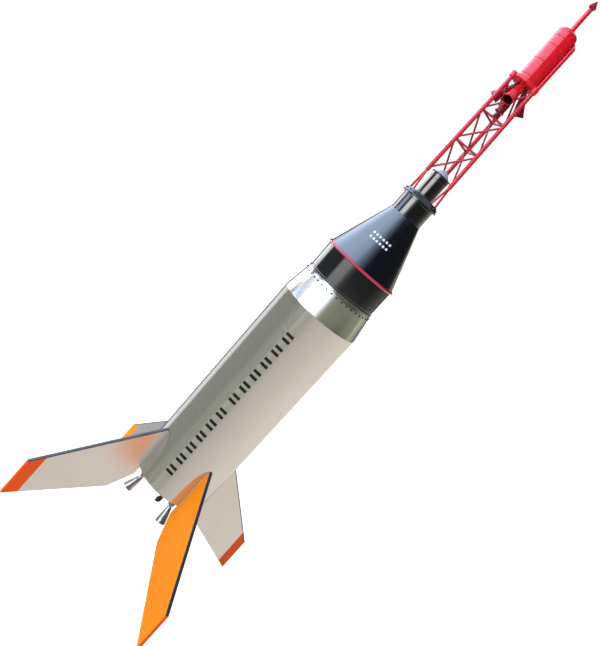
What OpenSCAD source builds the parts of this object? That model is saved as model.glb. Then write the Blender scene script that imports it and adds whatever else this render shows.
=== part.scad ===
// Scale model of an early capsule test launcher: a paper-tube airframe with four
// through-the-wall fins, and a pull-off nose section that carries a capsule and an
// open escape tower. +Z is up along the tube, the front (-Y) carries the marking
// column, and z = 0 is the plane of the four fin tips that the rocket stands on.

/* [Airframe] */
// Outer diameter of the paper airframe tube
body_d = 56.3; // [56:0.1:58]
// Wall of the airframe tube
body_wall = 0.55; // [0.5:0.05:0.7]
// Height of the tube's lower edge above the fin tips
body_bottom = 57.8; // [56:0.2:60]
// Height of the tube's upper edge above the fin tips
body_top = 211.5; // [210:0.5:213]

/* [Fins] */
// Thickness of a fin
fin_t = 2.4; // [2:0.1:2.6]
// Distance of a fin's outer lower corner from the axis
fin_reach = 91.4; // [85:0.2:95]
// Height of the leading edge where it meets the tube
fin_root_top = 91.2; // [90:0.2:94]
// Height of a fin's straight tip edge
fin_tip_chord = 29.3; // [25:0.1:32]

/* [Motor mount] */
// Bore of the motor tube
motor_bore_d = 24.1; // [24:0.05:24.3]
// Wall of the motor tube
motor_wall = 0.35; // [0.3:0.05:0.5]
// Height of the motor tube's lower edge
motor_bottom = 51.5; // [51:0.1:53]
// Height of the thrust ring's upper edge
motor_top = 124; // [123:0.5:126]
// Largest diameter of a tail nozzle's bell
nozzle_exit_d = 7.3; // [6:0.1:8]
// Outward cant of a tail nozzle, degrees
nozzle_cant = 15.4; // [12:0.2:17]

/* [Capsule] */
// Height at which the tapered adapter meets the capsule
adapter_top = 231; // [229:0.1:232]
// Outer diameter of the capsule's straight skirt
skirt_d = 49.2; // [48.6:0.1:49.4]
// Height of the clamp ring's underside
ring_bottom = 248.9; // [247:0.1:250]
// Outer diameter of the clamp ring
ring_d = 51.4; // [50.6:0.1:52]
// Height of the capsule cone's upper edge
cone_top = 289; // [287:0.5:291]
// Outer diameter of the capsule's neck
neck_d = 21.8; // [21:0.1:22]
// Height of the neck's upper edge
neck_top = 301.3; // [300:0.1:302]

/* [Escape tower] */
// Turn of the tower on the capsule, degrees
tower_turn = 3; // [0:1:10]
// Diameter of a tower leg
leg_d = 2.6; // [2.5:0.1:2.8]
// Diameter of a horizontal brace
brace_d = 1.3; // [1:0.1:1.3]
// Diameter of a diagonal
diagonal_d = 1.2; // [1:0.1:1.4]
// Diameter of the escape motor's case
motor_case_d = 12.2; // [11.6:0.1:12.4]
// Outward cant of an escape nozzle, degrees
escape_cant = 31; // [28:1:33]
// Diameter of the spike's rod
spike_d = 2.8; // [2:0.1:3]

/* [Hidden] */
$fn = 96;
eps = 0.01;

body_r = body_d / 2;
body_ir = body_r - body_wall;

fin_azimuths = [-45, 45, 135, -135];
fin_tip_lean = 1.2;
fin_below = 8;
fin_inset = 1.2;
tab_bottom = body_bottom + 3.4;
tab_top = 88;
slot_gap = 0.1;

motor_ir = motor_bore_d / 2;
motor_r = motor_ir + motor_wall;
ring_t = 1.6;
ring_gap = 0.05;
middle_ring_z = tab_top + 0.2;
top_ring_z = motor_top - 4;
thrust_bottom = motor_bottom + 63.7;

hook_azimuth = 22.5;
hook_t = 0.5;
hook_w = 3;
hook_prong = 3.2;
hook_pivot_z = middle_ring_z;
hook_end_z = motor_bottom - 7;
hook_notch = 4.2;

nozzle_exit_r = nozzle_exit_d / 2;
nozzle_throat_r = 1.3;
nozzle_seat_r = 17.4;
nozzle_length = 21;

lug_ir = 2.5;
lug_wall = 0.35;
lug_r = lug_ir + lug_wall;
lug_bottom = 104;
lug_length = 50.8;

shell_t = 1.2;
coupler_r = body_ir - 0.15;
coupler_wall = 0.8;
coupler_bottom = 190;
bulkhead_z = 191;
adapter_top_r = 25.1;
rivets = 40;
rivet_z = adapter_top - 2.9;

skirt_r = skirt_d / 2;
ring_r = ring_d / 2;
ring_h = 1.7;
cone_bottom = ring_bottom + ring_h;
cone_bottom_r = 24.5;
neck_r = neck_d / 2;
flange_r = 12.6;
flange_top = neck_top + 3.3;
flange_top_r = 10.9;

canister_r = 6;
canister_top = flange_top + 15.4;
lid_r = 6.9;
lid_t = 0.6;
cap_r = 4.7;

leg_azimuths = [-60, 60, 180];
foot_top = 317.5;
foot_r = 9.6;
foot_spread = 2.8;
foot_d = 1.3;
leg_low_r = 10;
leg_high_r = 8.7;
plate_z = 386.4;
plate_t = 2;
plate_r = 9;
lug_drop = 1.4;
leg_top = plate_z - lug_drop;
levels = [foot_top + 1, 341.2, 362.5, leg_top];
diagonal_inset = 1.2;
leg_gap = 0.03;
brace_inset = brace_d * 0.88;
diagonal_end_inset = leg_d / 2 - 0.3;

case_bottom = plate_z + plate_t;
case_top = 420.2;
case_r = motor_case_d / 2;
case_seams = [391.2, 401.2, 411, 416.4];
dome_top = 422.9;
dome_corner = 2.4;
spike_shoulder = 437.6;
spike_top = 442.9;
spike_head_r = 2.2;
conduit_d = 2.8;
conduit_azimuth = 92;
conduit_top = 419.8;
escape_exit_r = 3.4;
escape_length = 15.5;
escape_seat_r = 2.6;

// ---- places ----

// Point at a distance from the axis, an azimuth from the front towards +X, and a height
function at(r, azimuth, z) = [r * sin(azimuth), -r * cos(azimuth), z];

// Distance of a leg's centre line from the axis at a height
function leg_radius(z) =
    leg_low_r + (leg_high_r - leg_low_r) * (z - foot_top) / (leg_top - foot_top);

// Point on the centre line of leg i at a height
function leg_point(i, z) = at(leg_radius(z), leg_azimuths[i % 3] + tower_turn, z);

// ---- shared shapes ----

// Turns and moves what is drawn along +X at the front to an azimuth
module face_out(azimuth) {
    rotate([0, 0, azimuth - 90]) children();
}

// Straight round bar between two points
module rod(a, b, d) {
    v = b - a;
    translate(a)
        rotate([0, acos(v[2] / norm(v)), atan2(v[1], v[0])])
            cylinder(h = norm(v), d = d);
}

// Tube with a given outer and inner radius
module tube(z0, z1, r, ir) {
    translate([0, 0, z0])
        difference() {
            cylinder(h = z1 - z0, r = r);
            translate([0, 0, -1]) cylinder(h = z1 - z0 + 2, r = ir);
        }
}

// Keeps only what lies between two heights
module between(z0, z1) {
    intersection() {
        children();
        translate([-100, -100, z0]) cube([200, 200, z1 - z0]);
    }
}

// Hollow bell that opens downwards from its throat at the origin
module bell(throat_r, exit_r, length, wall, curve) {
    steps = 10;
    outer = [for (i = [0:steps]) [
        throat_r + (exit_r - throat_r) * pow(i / steps, curve),
        -length * i / steps
    ]];
    inner = [for (i = [steps:-1:1]) [outer[i][0] - wall, outer[i][1]]];
    rotate_extrude() polygon(concat([[0, 0]], outer, inner, [[0, -length / steps]]));
}

// ---- airframe ----

// Outline of a fin in the plane of the axis, with its tab and the part below the tube
module fin_outline() {
    inner_low = body_r - fin_inset - 0.6;
    polygon([
        [body_r, fin_root_top],
        [fin_reach - fin_tip_lean, fin_tip_chord],
        [fin_reach, 0],
        [body_r + 8.4, 32.7],
        [inner_low, body_bottom - fin_below],
        [inner_low, body_bottom],
        [body_r, body_bottom],
        [body_r, tab_bottom],
        [motor_r, tab_bottom],
        [motor_r, tab_top],
        [body_r, tab_top]
    ]);
}

module fin(azimuth) {
    face_out(azimuth)
        translate([0, fin_t / 2, 0])
            rotate([90, 0, 0]) linear_extrude(height = fin_t) fin_outline();
}

module body_tube() {
    slot_w = fin_t + slot_gap;
    color([0.62, 0.61, 0.58])
        difference() {
            tube(body_bottom, body_top, body_r, body_ir);
            for (azimuth = fin_azimuths)
                face_out(azimuth)
                    translate([body_ir - 3, -slot_w / 2, tab_bottom - slot_gap])
                        cube([6, slot_w, tab_top - tab_bottom + 2 * slot_gap]);
        }
}

module fin_front_left() { color([0.70, 0.68, 0.64]) fin(fin_azimuths[0]); }

module fin_front_right() { color([0.98, 0.58, 0.10]) fin(fin_azimuths[1]); }

module fin_back_right() { color([0.70, 0.68, 0.64]) fin(fin_azimuths[2]); }

module fin_back_left() { color([0.98, 0.58, 0.10]) fin(fin_azimuths[3]); }

module motor_tube() {
    color([0.75, 0.62, 0.42]) tube(motor_bottom, thrust_bottom, motor_r, motor_ir);
}

// Thick ring that stops the motor's front end, notched for the hook's upper prong
module thrust_ring() {
    color([0.72, 0.58, 0.40])
        difference() {
            tube(thrust_bottom, motor_top, motor_r, motor_ir - 1.2);
            face_out(hook_azimuth)
                translate([motor_ir - 4, -hook_w / 2 - 0.1, thrust_bottom - 1])
                    cube([6, hook_w + 0.2, 1 + hook_t]);
        }
}

module hook_band() {
    band_r = norm([motor_r + hook_t, hook_w / 2]) + eps;
    color([0.80, 0.70, 0.52]) tube(middle_ring_z + 10, middle_ring_z + 18, band_r + 0.4, band_r);
}

// Fixed upper half of the spring-steel hook, bent in over the motor's front end
module hook_anchor() {
    color([0.72, 0.73, 0.75])
        face_out(hook_azimuth) {
            translate([motor_r, -hook_w / 2, hook_pivot_z + eps])
                cube([hook_t, hook_w, thrust_bottom + hook_t - hook_pivot_z - eps]);
            translate([motor_ir - hook_prong, -hook_w / 2, thrust_bottom])
                cube([hook_prong + motor_wall + eps, hook_w, hook_t]);
        }
}

// Side outline of the hook's lower half: strip, prong under the motor, finger tail
module hook_outline() {
    back = motor_r + 0.05;
    tip = motor_ir - hook_prong;
    top = hook_pivot_z - 0.3;
    tail = 3;
    polygon([
        [back + hook_t, top],
        [back, top],
        [back, hook_end_z + hook_t],
        [tip, hook_end_z + hook_t],
        [tip + 0.6, hook_end_z - tail],
        [tip + 0.6 + hook_t, hook_end_z - tail],
        [tip + hook_t, hook_end_z],
        [back + hook_t, hook_end_z]
    ]);
}

// Lower half of the hook, which bends out to let a motor casing in
module engine_hook() {
    color([0.72, 0.73, 0.75])
        face_out(hook_azimuth)
            translate([0, hook_w / 2, 0])
                rotate([90, 0, 0]) linear_extrude(height = hook_w) hook_outline();
}

// Flat ring between the motor tube and the airframe tube, notched for the hook
module centring_ring(z, notch) {
    difference() {
        tube(z, z + ring_t, body_ir - ring_gap, motor_r);
        face_out(hook_azimuth)
            translate([motor_ir - 2, -hook_w / 2 - 0.2, z - 1])
                cube([2 + motor_wall + notch, hook_w + 0.4, ring_t + 2]);
    }
}

module base_ring() { color([0.16, 0.16, 0.16]) centring_ring(body_bottom, hook_notch); }

module middle_ring() { color([0.80, 0.70, 0.52]) centring_ring(middle_ring_z, hook_t); }

module top_ring() {
    color([0.80, 0.70, 0.52]) tube(top_ring_z, top_ring_z + ring_t, body_ir - ring_gap, motor_r);
}

// Canted bell with a domed head, seated on the base ring's underside
module nozzle(azimuth) {
    head_r = 2.5;
    between(0, body_bottom)
        translate(at(nozzle_seat_r, azimuth, body_bottom))
            face_out(azimuth) rotate([0, -nozzle_cant, 0]) {
                translate([0, 0, -6.2]) cylinder(h = 9, r = head_r);
                translate([0, 0, -6.2]) sphere(r = head_r);
                translate([0, 0, -8.4])
                    bell(nozzle_throat_r, nozzle_exit_r, nozzle_length - 8.4, 0.5, 0.75);
            }
}

module nozzle_front_left() { color([0.58, 0.58, 0.56]) nozzle(fin_azimuths[0]); }

module nozzle_front_right() { color([0.58, 0.58, 0.56]) nozzle(fin_azimuths[1]); }

module nozzle_back_right() { color([0.58, 0.58, 0.56]) nozzle(fin_azimuths[2]); }

module nozzle_back_left() { color([0.58, 0.58, 0.56]) nozzle(fin_azimuths[3]); }

module launch_lug() {
    color([0.66, 0.65, 0.62])
        translate(at(body_r + lug_r, 180, 0))
            tube(lug_bottom, lug_bottom + lug_length, lug_r, lug_ir);
}

// Folded paper anchor, glued inside the tube for the shock cord
module shock_cord_mount() {
    color([0.88, 0.86, 0.80])
        rotate([0, 0, 75])
            translate([0, 0, 168])
                rotate_extrude(angle = 30)
                    translate([body_ir - 0.6, 0]) square([0.6, 17]);
}

// Folded and wrapped canopy, above the motor tube
module parachute_pack() {
    r = 21;
    h = 38;
    corner = 6;
    color([0.90, 0.45, 0.20])
        translate([0, 0, motor_top + 1])
            rotate_extrude()
                polygon(concat(
                    [[0, 0]],
                    [for (a = [-90:15:0]) [r - corner + corner * cos(a), corner + corner * sin(a)]],
                    [for (a = [0:15:90]) [r - corner + corner * cos(a), h - corner + corner * sin(a)]],
                    [[0, h]]
                ));
}

// ---- nose section ----

module coupler_tube() {
    color([0.85, 0.78, 0.62])
        tube(coupler_bottom, body_top, coupler_r, coupler_r - coupler_wall);
}

module coupler_bulkhead() {
    color([0.82, 0.68, 0.45]) tube(bulkhead_z, bulkhead_z + 3, coupler_r - coupler_wall, 0.8);
}

module screw_eye() {
    eye_r = 2.6;
    wire_r = 0.6;
    eye_z = bulkhead_z - 4.4;
    color([0.75, 0.72, 0.62]) {
        translate([0, 0, eye_z + eye_r]) cylinder(h = 10, r = 0.8);
        translate([0, 0, eye_z])
            rotate([90, 0, 0]) rotate_extrude() translate([eye_r, 0]) circle(r = wire_r);
    }
}

// Tapered shell, with a flange that rests on the tube
module adapter() {
    lip = 1.4;
    color([0.74, 0.75, 0.74])
        rotate_extrude()
            polygon([
                [21, body_top],
                [body_r, body_top],
                [body_r, body_top + 1],
                [adapter_top_r, adapter_top - lip],
                [adapter_top_r, adapter_top],
                [adapter_top_r - 1.6, adapter_top],
                [adapter_top_r - 1.6, adapter_top - lip],
                [body_r - shell_t - 0.3, body_top + shell_t],
                [21, body_top + shell_t]
            ]);
}

// Row of small round heads around the adapter's upper edge
module adapter_rivets() {
    seat_r = adapter_top_r + 0.18;
    color([0.25, 0.25, 0.25])
        for (i = [0:rivets - 1])
            rotate([0, 0, i * 360 / rivets])
                translate([seat_r - 0.6, 0, rivet_z]) rotate([0, 90, 0]) cylinder(h = 1, d = 0.9);
}

module capsule_skirt() {
    color([0.05, 0.05, 0.06]) tube(adapter_top, ring_bottom, skirt_r, skirt_r - 1);
}

module clamp_ring() {
    edge = 0.5;
    color([0.80, 0.10, 0.22])
        rotate_extrude()
            polygon([
                [23.3, ring_bottom],
                [ring_r - edge, ring_bottom],
                [ring_r, ring_bottom + edge],
                [ring_r, cone_bottom - edge],
                [ring_r - edge, cone_bottom],
                [23.3, cone_bottom]
            ]);
}

module capsule_cone() {
    color([0.05, 0.05, 0.06])
        rotate_extrude()
            polygon([
                [cone_bottom_r - shell_t, cone_bottom],
                [cone_bottom_r, cone_bottom],
                [neck_r + 0.15, cone_top],
                [neck_r - shell_t, cone_top]
            ]);
}

module capsule_neck() {
    color([0.05, 0.05, 0.06]) tube(cone_top, neck_top, neck_r, neck_r - shell_t);
}

// Shallow conical plate that closes the neck and carries the tower
module neck_flange() {
    color([0.08, 0.08, 0.09])
        rotate_extrude()
            polygon([
                [0, flange_top - 1.2],
                [9, flange_top - 1.2],
                [9, neck_top],
                [flange_r, neck_top],
                [flange_r, neck_top + 0.5],
                [flange_top_r, flange_top],
                [0, flange_top]
            ]);
}

module antenna_canister() {
    color([0.06, 0.07, 0.07])
        translate([0, 0, flange_top]) cylinder(h = canister_top - flange_top, r = canister_r);
}

module canister_lid() {
    color([0.06, 0.07, 0.07]) translate([0, 0, canister_top]) cylinder(h = lid_t, r = lid_r);
}

module canister_cap() {
    color([0.62, 0.64, 0.68])
        translate([0, 0, canister_top + lid_t])
            rotate_extrude()
                polygon([[0, 0], [cap_r, 0], [2.4, 2.3], [1.2, 3.3], [0.5, 3.7], [0, 3.8]]);
}

// ---- escape tower ----

module tower_leg(i) {
    rod(leg_point(i, foot_top + leg_gap), leg_point(i, leg_top - leg_gap), leg_d);
}

// Bar between the centre lines of two legs, with its ends an inset away from them
module leg_bar(a, b, d, inset) {
    along = (b - a) / norm(b - a);
    rod(a + along * inset, b - along * inset, d);
}

module tower_leg_left() { color([0.86, 0.10, 0.16]) tower_leg(0); }

module tower_leg_right() { color([0.86, 0.10, 0.16]) tower_leg(1); }

module tower_leg_back() { color([0.86, 0.10, 0.16]) tower_leg(2); }

// Each leg stands on two short struts, spread apart on the flange
module tower_feet() {
    color([0.86, 0.10, 0.16])
        between(flange_top, foot_top)
            for (azimuth = leg_azimuths, side = [-1, 1]) {
                spread = [cos(azimuth + tower_turn), sin(azimuth + tower_turn), 0] * side;
                foot = at(foot_r, azimuth + tower_turn, flange_top);
                apex = at(leg_low_r, azimuth + tower_turn, foot_top);
                low = foot + spread * foot_spread;
                high = apex + spread * 0.4;
                rod(low - (high - low) * 0.2, high + (high - low) * 0.1, foot_d);
            }
}

// Three horizontal bars between the legs at one level
module brace(z) {
    color([0.86, 0.10, 0.16])
        for (i = [0:2]) leg_bar(leg_point(i, z), leg_point(i + 1, z), brace_d, brace_inset);
}

module brace_lower() { brace(levels[1]); }

module brace_upper() { brace(levels[2]); }

// One rising bar on each face of a bay, from a leg's foot to the next leg's head
module diagonals(bay) {
    low = levels[bay] + diagonal_inset;
    high = levels[bay + 1] - diagonal_inset;
    color([0.80, 0.08, 0.14])
        for (i = [0:2])
            leg_bar(leg_point(i, low), leg_point(i + 1, high), diagonal_d, diagonal_end_inset);
}

module diagonals_lower() { diagonals(0); }

module diagonals_middle() { diagonals(1); }

module diagonals_upper() { diagonals(2); }

module motor_plate() {
    color([0.86, 0.10, 0.16]) {
        translate([0, 0, plate_z]) cylinder(h = plate_t, r = plate_r);
        for (i = [0:2])
            translate(leg_point(i, leg_top)) cylinder(h = plate_t + lug_drop, d = leg_d + 1.4);
    }
}

// Straight case with shallow grooves where its wraps meet
module escape_motor_case() {
    groove = 0.25;
    color([0.90, 0.10, 0.15])
        difference() {
            translate([0, 0, case_bottom]) cylinder(h = case_top - case_bottom, r = case_r);
            for (z = case_seams) tube(z - groove, z + groove, case_r + 1, case_r - groove);
        }
}

// Low end cap of the case, with a round corner and a slight crown
module escape_motor_dome() {
    rise = dome_top - case_top;
    flat_r = case_r - dome_corner;
    color([0.90, 0.10, 0.15])
        translate([0, 0, case_top])
            rotate_extrude()
                polygon(concat(
                    [for (a = [0:10:90]) [flat_r + dome_corner * cos(a), (rise - 0.3) * sin(a)]],
                    [[0, rise], [0, 0]]
                ));
}

// Cable fairing along the case, with a sloped upper end
module side_conduit() {
    color([0.84, 0.10, 0.16])
        face_out(conduit_azimuth)
            difference() {
                translate([case_r + conduit_d / 2, 0, case_bottom])
                    cylinder(h = conduit_top - case_bottom, d = conduit_d);
                translate([case_r, -conduit_d, conduit_top])
                    rotate([0, 45, 0]) cube([conduit_d * 3, conduit_d * 2, conduit_d * 2]);
            }
}

// Canted cone seated on the motor plate's underside
module escape_nozzle(azimuth) {
    between(0, plate_z)
        translate(at(escape_seat_r, azimuth, plate_z))
            face_out(azimuth) rotate([0, -escape_cant, 0]) {
                translate([0, 0, -1.4]) cylinder(h = 3, r = 1.5);
                translate([0, 0, -1.4]) bell(1.4, escape_exit_r, escape_length - 1.4, 0.45, 0.95);
            }
}

module escape_nozzle_front() { color([0.86, 0.10, 0.16]) escape_nozzle(tower_turn); }

module escape_nozzle_right() { color([0.70, 0.06, 0.12]) escape_nozzle(tower_turn + 120); }

module escape_nozzle_left() { color([0.70, 0.06, 0.12]) escape_nozzle(tower_turn - 120); }

// Small motor on the axis below the plate, on a slim stalk
module jettison_motor() {
    color([0.62, 0.06, 0.12])
        translate([0, 0, plate_z])
            rotate_extrude()
                polygon([
                    [0, 0], [0.8, 0], [0.8, -12], [2.5, -12.6], [2.5, -18], [3, -18.2],
                    [3, -19], [1.3, -19.2], [2.4, -23], [1.9, -23], [0.9, -20], [0, -20]
                ]);
}

module spike_rod() {
    color([0.86, 0.12, 0.20])
        translate([0, 0, dome_top]) cylinder(h = spike_shoulder - dome_top, d = spike_d);
}

module spike_tip() {
    color([0.70, 0.06, 0.12])
        rotate_extrude()
            polygon([
                [0, spike_shoulder],
                [spike_d / 2, spike_shoulder],
                [spike_head_r, spike_shoulder + 1.5],
                [spike_head_r, spike_shoulder + 1.9],
                [0.35, spike_top - 0.2],
                [0, spike_top]
            ]);
}

body_tube();
fin_front_left();
fin_front_right();
fin_back_right();
fin_back_left();
motor_tube();
thrust_ring();
hook_band();
hook_anchor();
engine_hook();
base_ring();
middle_ring();
top_ring();
nozzle_front_left();
nozzle_front_right();
nozzle_back_right();
nozzle_back_left();
launch_lug();
shock_cord_mount();
parachute_pack();
coupler_tube();
coupler_bulkhead();
screw_eye();
adapter();
adapter_rivets();
capsule_skirt();
clamp_ring();
capsule_cone();
capsule_neck();
neck_flange();
antenna_canister();
canister_lid();
canister_cap();
tower_feet();
tower_leg_left();
tower_leg_right();
tower_leg_back();
brace_lower();
brace_upper();
diagonals_lower();
diagonals_middle();
diagonals_upper();
motor_plate();
escape_motor_case();
escape_motor_dome();
side_conduit();
escape_nozzle_front();
escape_nozzle_right();
escape_nozzle_left();
jettison_motor();
spike_rod();
spike_tip();
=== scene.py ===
"""Looks of a flying model rocket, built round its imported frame.

The rocket stands on its four fin tips. Its frame has +Z up the tube and the marking column at the
front (-Y). Sizes are in millimetres in the classes below and become metres when a piece is made. An
azimuth is the number of degrees round the tube from the front towards +X.
"""

from __future__ import annotations

import logging
import math
from dataclasses import dataclass, field
from enum import Enum
from typing import Sequence

import bpy
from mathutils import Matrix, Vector

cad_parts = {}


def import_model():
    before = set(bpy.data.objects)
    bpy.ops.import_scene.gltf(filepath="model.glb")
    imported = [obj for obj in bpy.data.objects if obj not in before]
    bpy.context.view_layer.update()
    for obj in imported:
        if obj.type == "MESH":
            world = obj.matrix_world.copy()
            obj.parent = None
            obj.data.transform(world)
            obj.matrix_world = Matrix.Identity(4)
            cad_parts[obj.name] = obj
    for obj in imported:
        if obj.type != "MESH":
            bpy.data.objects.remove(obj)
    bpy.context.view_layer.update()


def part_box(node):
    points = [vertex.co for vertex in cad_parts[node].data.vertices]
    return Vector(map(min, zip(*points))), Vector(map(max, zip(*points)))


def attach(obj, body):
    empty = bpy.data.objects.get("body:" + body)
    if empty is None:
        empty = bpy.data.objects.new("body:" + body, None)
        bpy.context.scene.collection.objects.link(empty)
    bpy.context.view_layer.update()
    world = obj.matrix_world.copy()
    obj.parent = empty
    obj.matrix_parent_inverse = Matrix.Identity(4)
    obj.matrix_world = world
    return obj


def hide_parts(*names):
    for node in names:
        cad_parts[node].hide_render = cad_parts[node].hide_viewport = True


LOG = logging.getLogger("rocket")
MM = 0.001
FULL_TURN = 2 * math.pi
Point = tuple[float, float]
Colour = tuple[float, float, float]
Piece = bpy.types.Object
Socket = bpy.types.NodeSocket
Feed = Socket | float | tuple[float, ...]


def around(radius: float, azimuth: float, height: float) -> Vector:
    """Gives the point in metres at a distance from the axis, an azimuth and a height."""
    turn = math.radians(azimuth)
    return Vector((radius * math.sin(turn), -radius * math.cos(turn), height)) * MM


def round_size(node: str) -> tuple[float, float, float]:
    """Gives the radius, the foot and the top of a round node on the axis, in millimetres."""
    low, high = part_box(node)
    return high.x / MM, low.z / MM, high.z / MM


# ---------------------------------------------------------------------------------------- bench


class Bench:
    """Hand tools for modelling. Each leaves the piece's place in its mesh, at the origin.

    Attributes:
        BEVEL_ANGLE: Degrees between two faces from which their edge is rounded.
        SMOOTH_ANGLE: Degrees up to which two faces are shaded as one.
        FLAT_WEIGHT: How strongly the shading follows the large faces.
        BAR_SIDES: Faces round a bar.
        BAR_SOFT: Width of the rounding at a bar's ends, in millimetres.
        FLARE_REACH: Length of a bar's widened end, in radii.
        FLARE_WAIST: Where that end is cut once more, in radii.
    """

    BEVEL_ANGLE = 28
    SMOOTH_ANGLE = 32
    FLAT_WEIGHT = 90
    BAR_SIDES = 28
    BAR_SOFT = 0.08
    FLARE_REACH = 1.7
    FLARE_WAIST = 0.7

    @staticmethod
    def deselect() -> None:
        """Leaves object mode with nothing selected."""
        if bpy.context.mode != "OBJECT":
            bpy.ops.object.mode_set(mode="OBJECT")
        bpy.ops.object.select_all(action="DESELECT")

    @staticmethod
    def grip(*pieces: Piece) -> None:
        """Selects the given pieces and nothing else, and makes the first one active.

        Args:
            pieces: The pieces.
        """
        Bench.deselect()
        for piece in pieces:
            piece.select_set(True)
        bpy.context.view_layer.objects.active = pieces[0]

    @staticmethod
    def named(name: str) -> Piece:
        """Names the active object and its mesh.

        Args:
            name: The name.

        Returns:
            The active object.
        """
        piece = bpy.context.active_object
        piece.name = name
        piece.data.name = name
        return piece

    @staticmethod
    def chain(name: str, points: Sequence[Vector], closed: bool) -> Piece:
        """Draws a line of vertices, one extrusion after another, and stays in edit mode.

        Args:
            name: The new object's name.
            points: The line's points, in metres.
            closed: Whether the last point is joined back to the first.

        Returns:
            The object, in edit mode with everything selected.
        """
        Bench.deselect()
        bpy.ops.mesh.primitive_plane_add(size=MM, location=(0, 0, 0))
        piece = Bench.named(name)
        bpy.ops.object.mode_set(mode="EDIT")
        bpy.ops.mesh.select_all(action="SELECT")
        bpy.ops.mesh.merge(type="CENTER")
        bpy.ops.transform.translate(value=points[0])
        route = list(points) + ([points[0]] if closed else [])
        for start, end in zip(route, route[1:]):
            bpy.ops.mesh.extrude_region_move(TRANSFORM_OT_translate={"value": end - start})
        bpy.ops.mesh.select_all(action="SELECT")
        bpy.ops.mesh.remove_doubles(threshold=MM * MM)
        return piece

    @staticmethod
    def turned(
        name: str,
        profile: Sequence[Point],
        steps: int = 96,
        closed: bool = False,
        soft: float = 0.12,
        sweep: float = 360.0,
        start: float = 0.0,
    ) -> Piece:
        """Turns a profile round the tube's axis, as on a lathe.

        Args:
            name: The new object's name.
            profile: (radius, height) points, in millimetres.
            steps: How many faces the turn has.
            closed: Whether the profile is a closed loop, as for a ring or a tube.
            soft: Width of the rounding along its edges, in millimetres, or 0 for none.
            sweep: Degrees that the profile turns through.
            start: Azimuth of the middle of a part turn, in degrees. Spin runs towards smaller
                azimuths, so the turn starts at the larger end.

        Returns:
            The finished object, shaded smooth.
        """
        first = start + sweep / 2 if sweep < 360 else 0.0
        points = [around(radius, first, height) for radius, height in profile]
        piece = Bench.chain(name, points, closed)
        if sweep < 360 and closed:
            bpy.ops.mesh.edge_face_add()
        bpy.ops.mesh.spin(
            steps=steps, angle=math.radians(sweep), center=(0, 0, 0), axis=(0, 0, 1)
        )
        bpy.ops.mesh.select_all(action="SELECT")
        bpy.ops.mesh.remove_doubles(threshold=MM * 0.002)
        bpy.ops.mesh.normals_make_consistent(inside=False)
        bpy.ops.object.mode_set(mode="OBJECT")
        return Bench.softened(piece, soft)

    @staticmethod
    def softened(piece: Piece, width: float, segments: int = 2) -> Piece:
        """Rounds a piece's sharp edges and shades it smooth, with its walls kept straight.

        Args:
            piece: The object to finish.
            width: Width of the rounding, in millimetres, or 0 for none.
            segments: Faces across the rounding.

        Returns:
            The same object.
        """
        Bench.grip(piece)
        if width > 0:
            bevel = piece.modifiers.new("soft_edges", "BEVEL")
            bevel.width = width * MM
            bevel.segments = segments
            bevel.limit_method = "ANGLE"
            bevel.angle_limit = math.radians(Bench.BEVEL_ANGLE)
            bevel.use_clamp_overlap = True
            bpy.ops.object.modifier_apply(modifier=bevel.name)
        bpy.ops.object.shade_smooth_by_angle(angle=math.radians(Bench.SMOOTH_ANGLE))
        if width > 0:
            flats = piece.modifiers.new("flat_walls", "WEIGHTED_NORMAL")
            flats.keep_sharp = True
            flats.weight = Bench.FLAT_WEIGHT
            bpy.ops.object.modifier_apply(modifier=flats.name)
        return piece

    @staticmethod
    def plate(name: str, outline: Sequence[Vector], depth: Vector, soft: float) -> Piece:
        """Cuts a flat plate to an outline and gives it a thickness.

        Args:
            name: The new object's name.
            outline: The outline's points in metres, all in one plane.
            depth: The way and how far the plate is thickened, in metres.
            soft: Width of the rounding along its edges, in millimetres.

        Returns:
            The finished object.
        """
        piece = Bench.chain(name, outline, closed=True)
        bpy.ops.mesh.edge_face_add()
        bpy.ops.mesh.extrude_region_move(TRANSFORM_OT_translate={"value": depth})
        bpy.ops.mesh.select_all(action="SELECT")
        bpy.ops.mesh.normals_make_consistent(inside=False)
        bpy.ops.object.mode_set(mode="OBJECT")
        return Bench.softened(piece, soft)

    @staticmethod
    def patch(foot: Point, head: Point, film: float, sweep: float, azimuth: float) -> Piece:
        """Makes one thin patch that follows a round wall.

        Args:
            foot: Radius and height of the wall at the patch's lower edge, in millimetres.
            head: The same at its upper edge.
            film: Half the patch's thickness.
            sweep: Degrees that it covers.
            azimuth: Azimuth of its middle.

        Returns:
            The patch.
        """
        (low_radius, low), (high_radius, high) = foot, head
        profile = [
            (low_radius - film, low), (low_radius + film, low),
            (high_radius + film, high), (high_radius - film, high),
        ]
        return Bench.turned(
            "patch", profile, steps=8, closed=True, soft=0.0, sweep=sweep, start=azimuth
        )

    @staticmethod
    def cut(piece: Piece, point: Vector, normal: Vector, clear: bool = False) -> None:
        """Cuts a piece along a plane.

        Args:
            piece: The object to cut.
            point: A point of the plane, in metres.
            normal: The plane's normal.
            clear: Whether the side that the normal points to is removed and the cut closed.
        """
        Bench.grip(piece)
        bpy.ops.object.mode_set(mode="EDIT")
        bpy.ops.mesh.select_all(action="SELECT")
        bpy.ops.mesh.bisect(
            plane_co=point, plane_no=normal, clear_outer=clear, use_fill=clear
        )
        bpy.ops.object.mode_set(mode="OBJECT")

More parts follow.
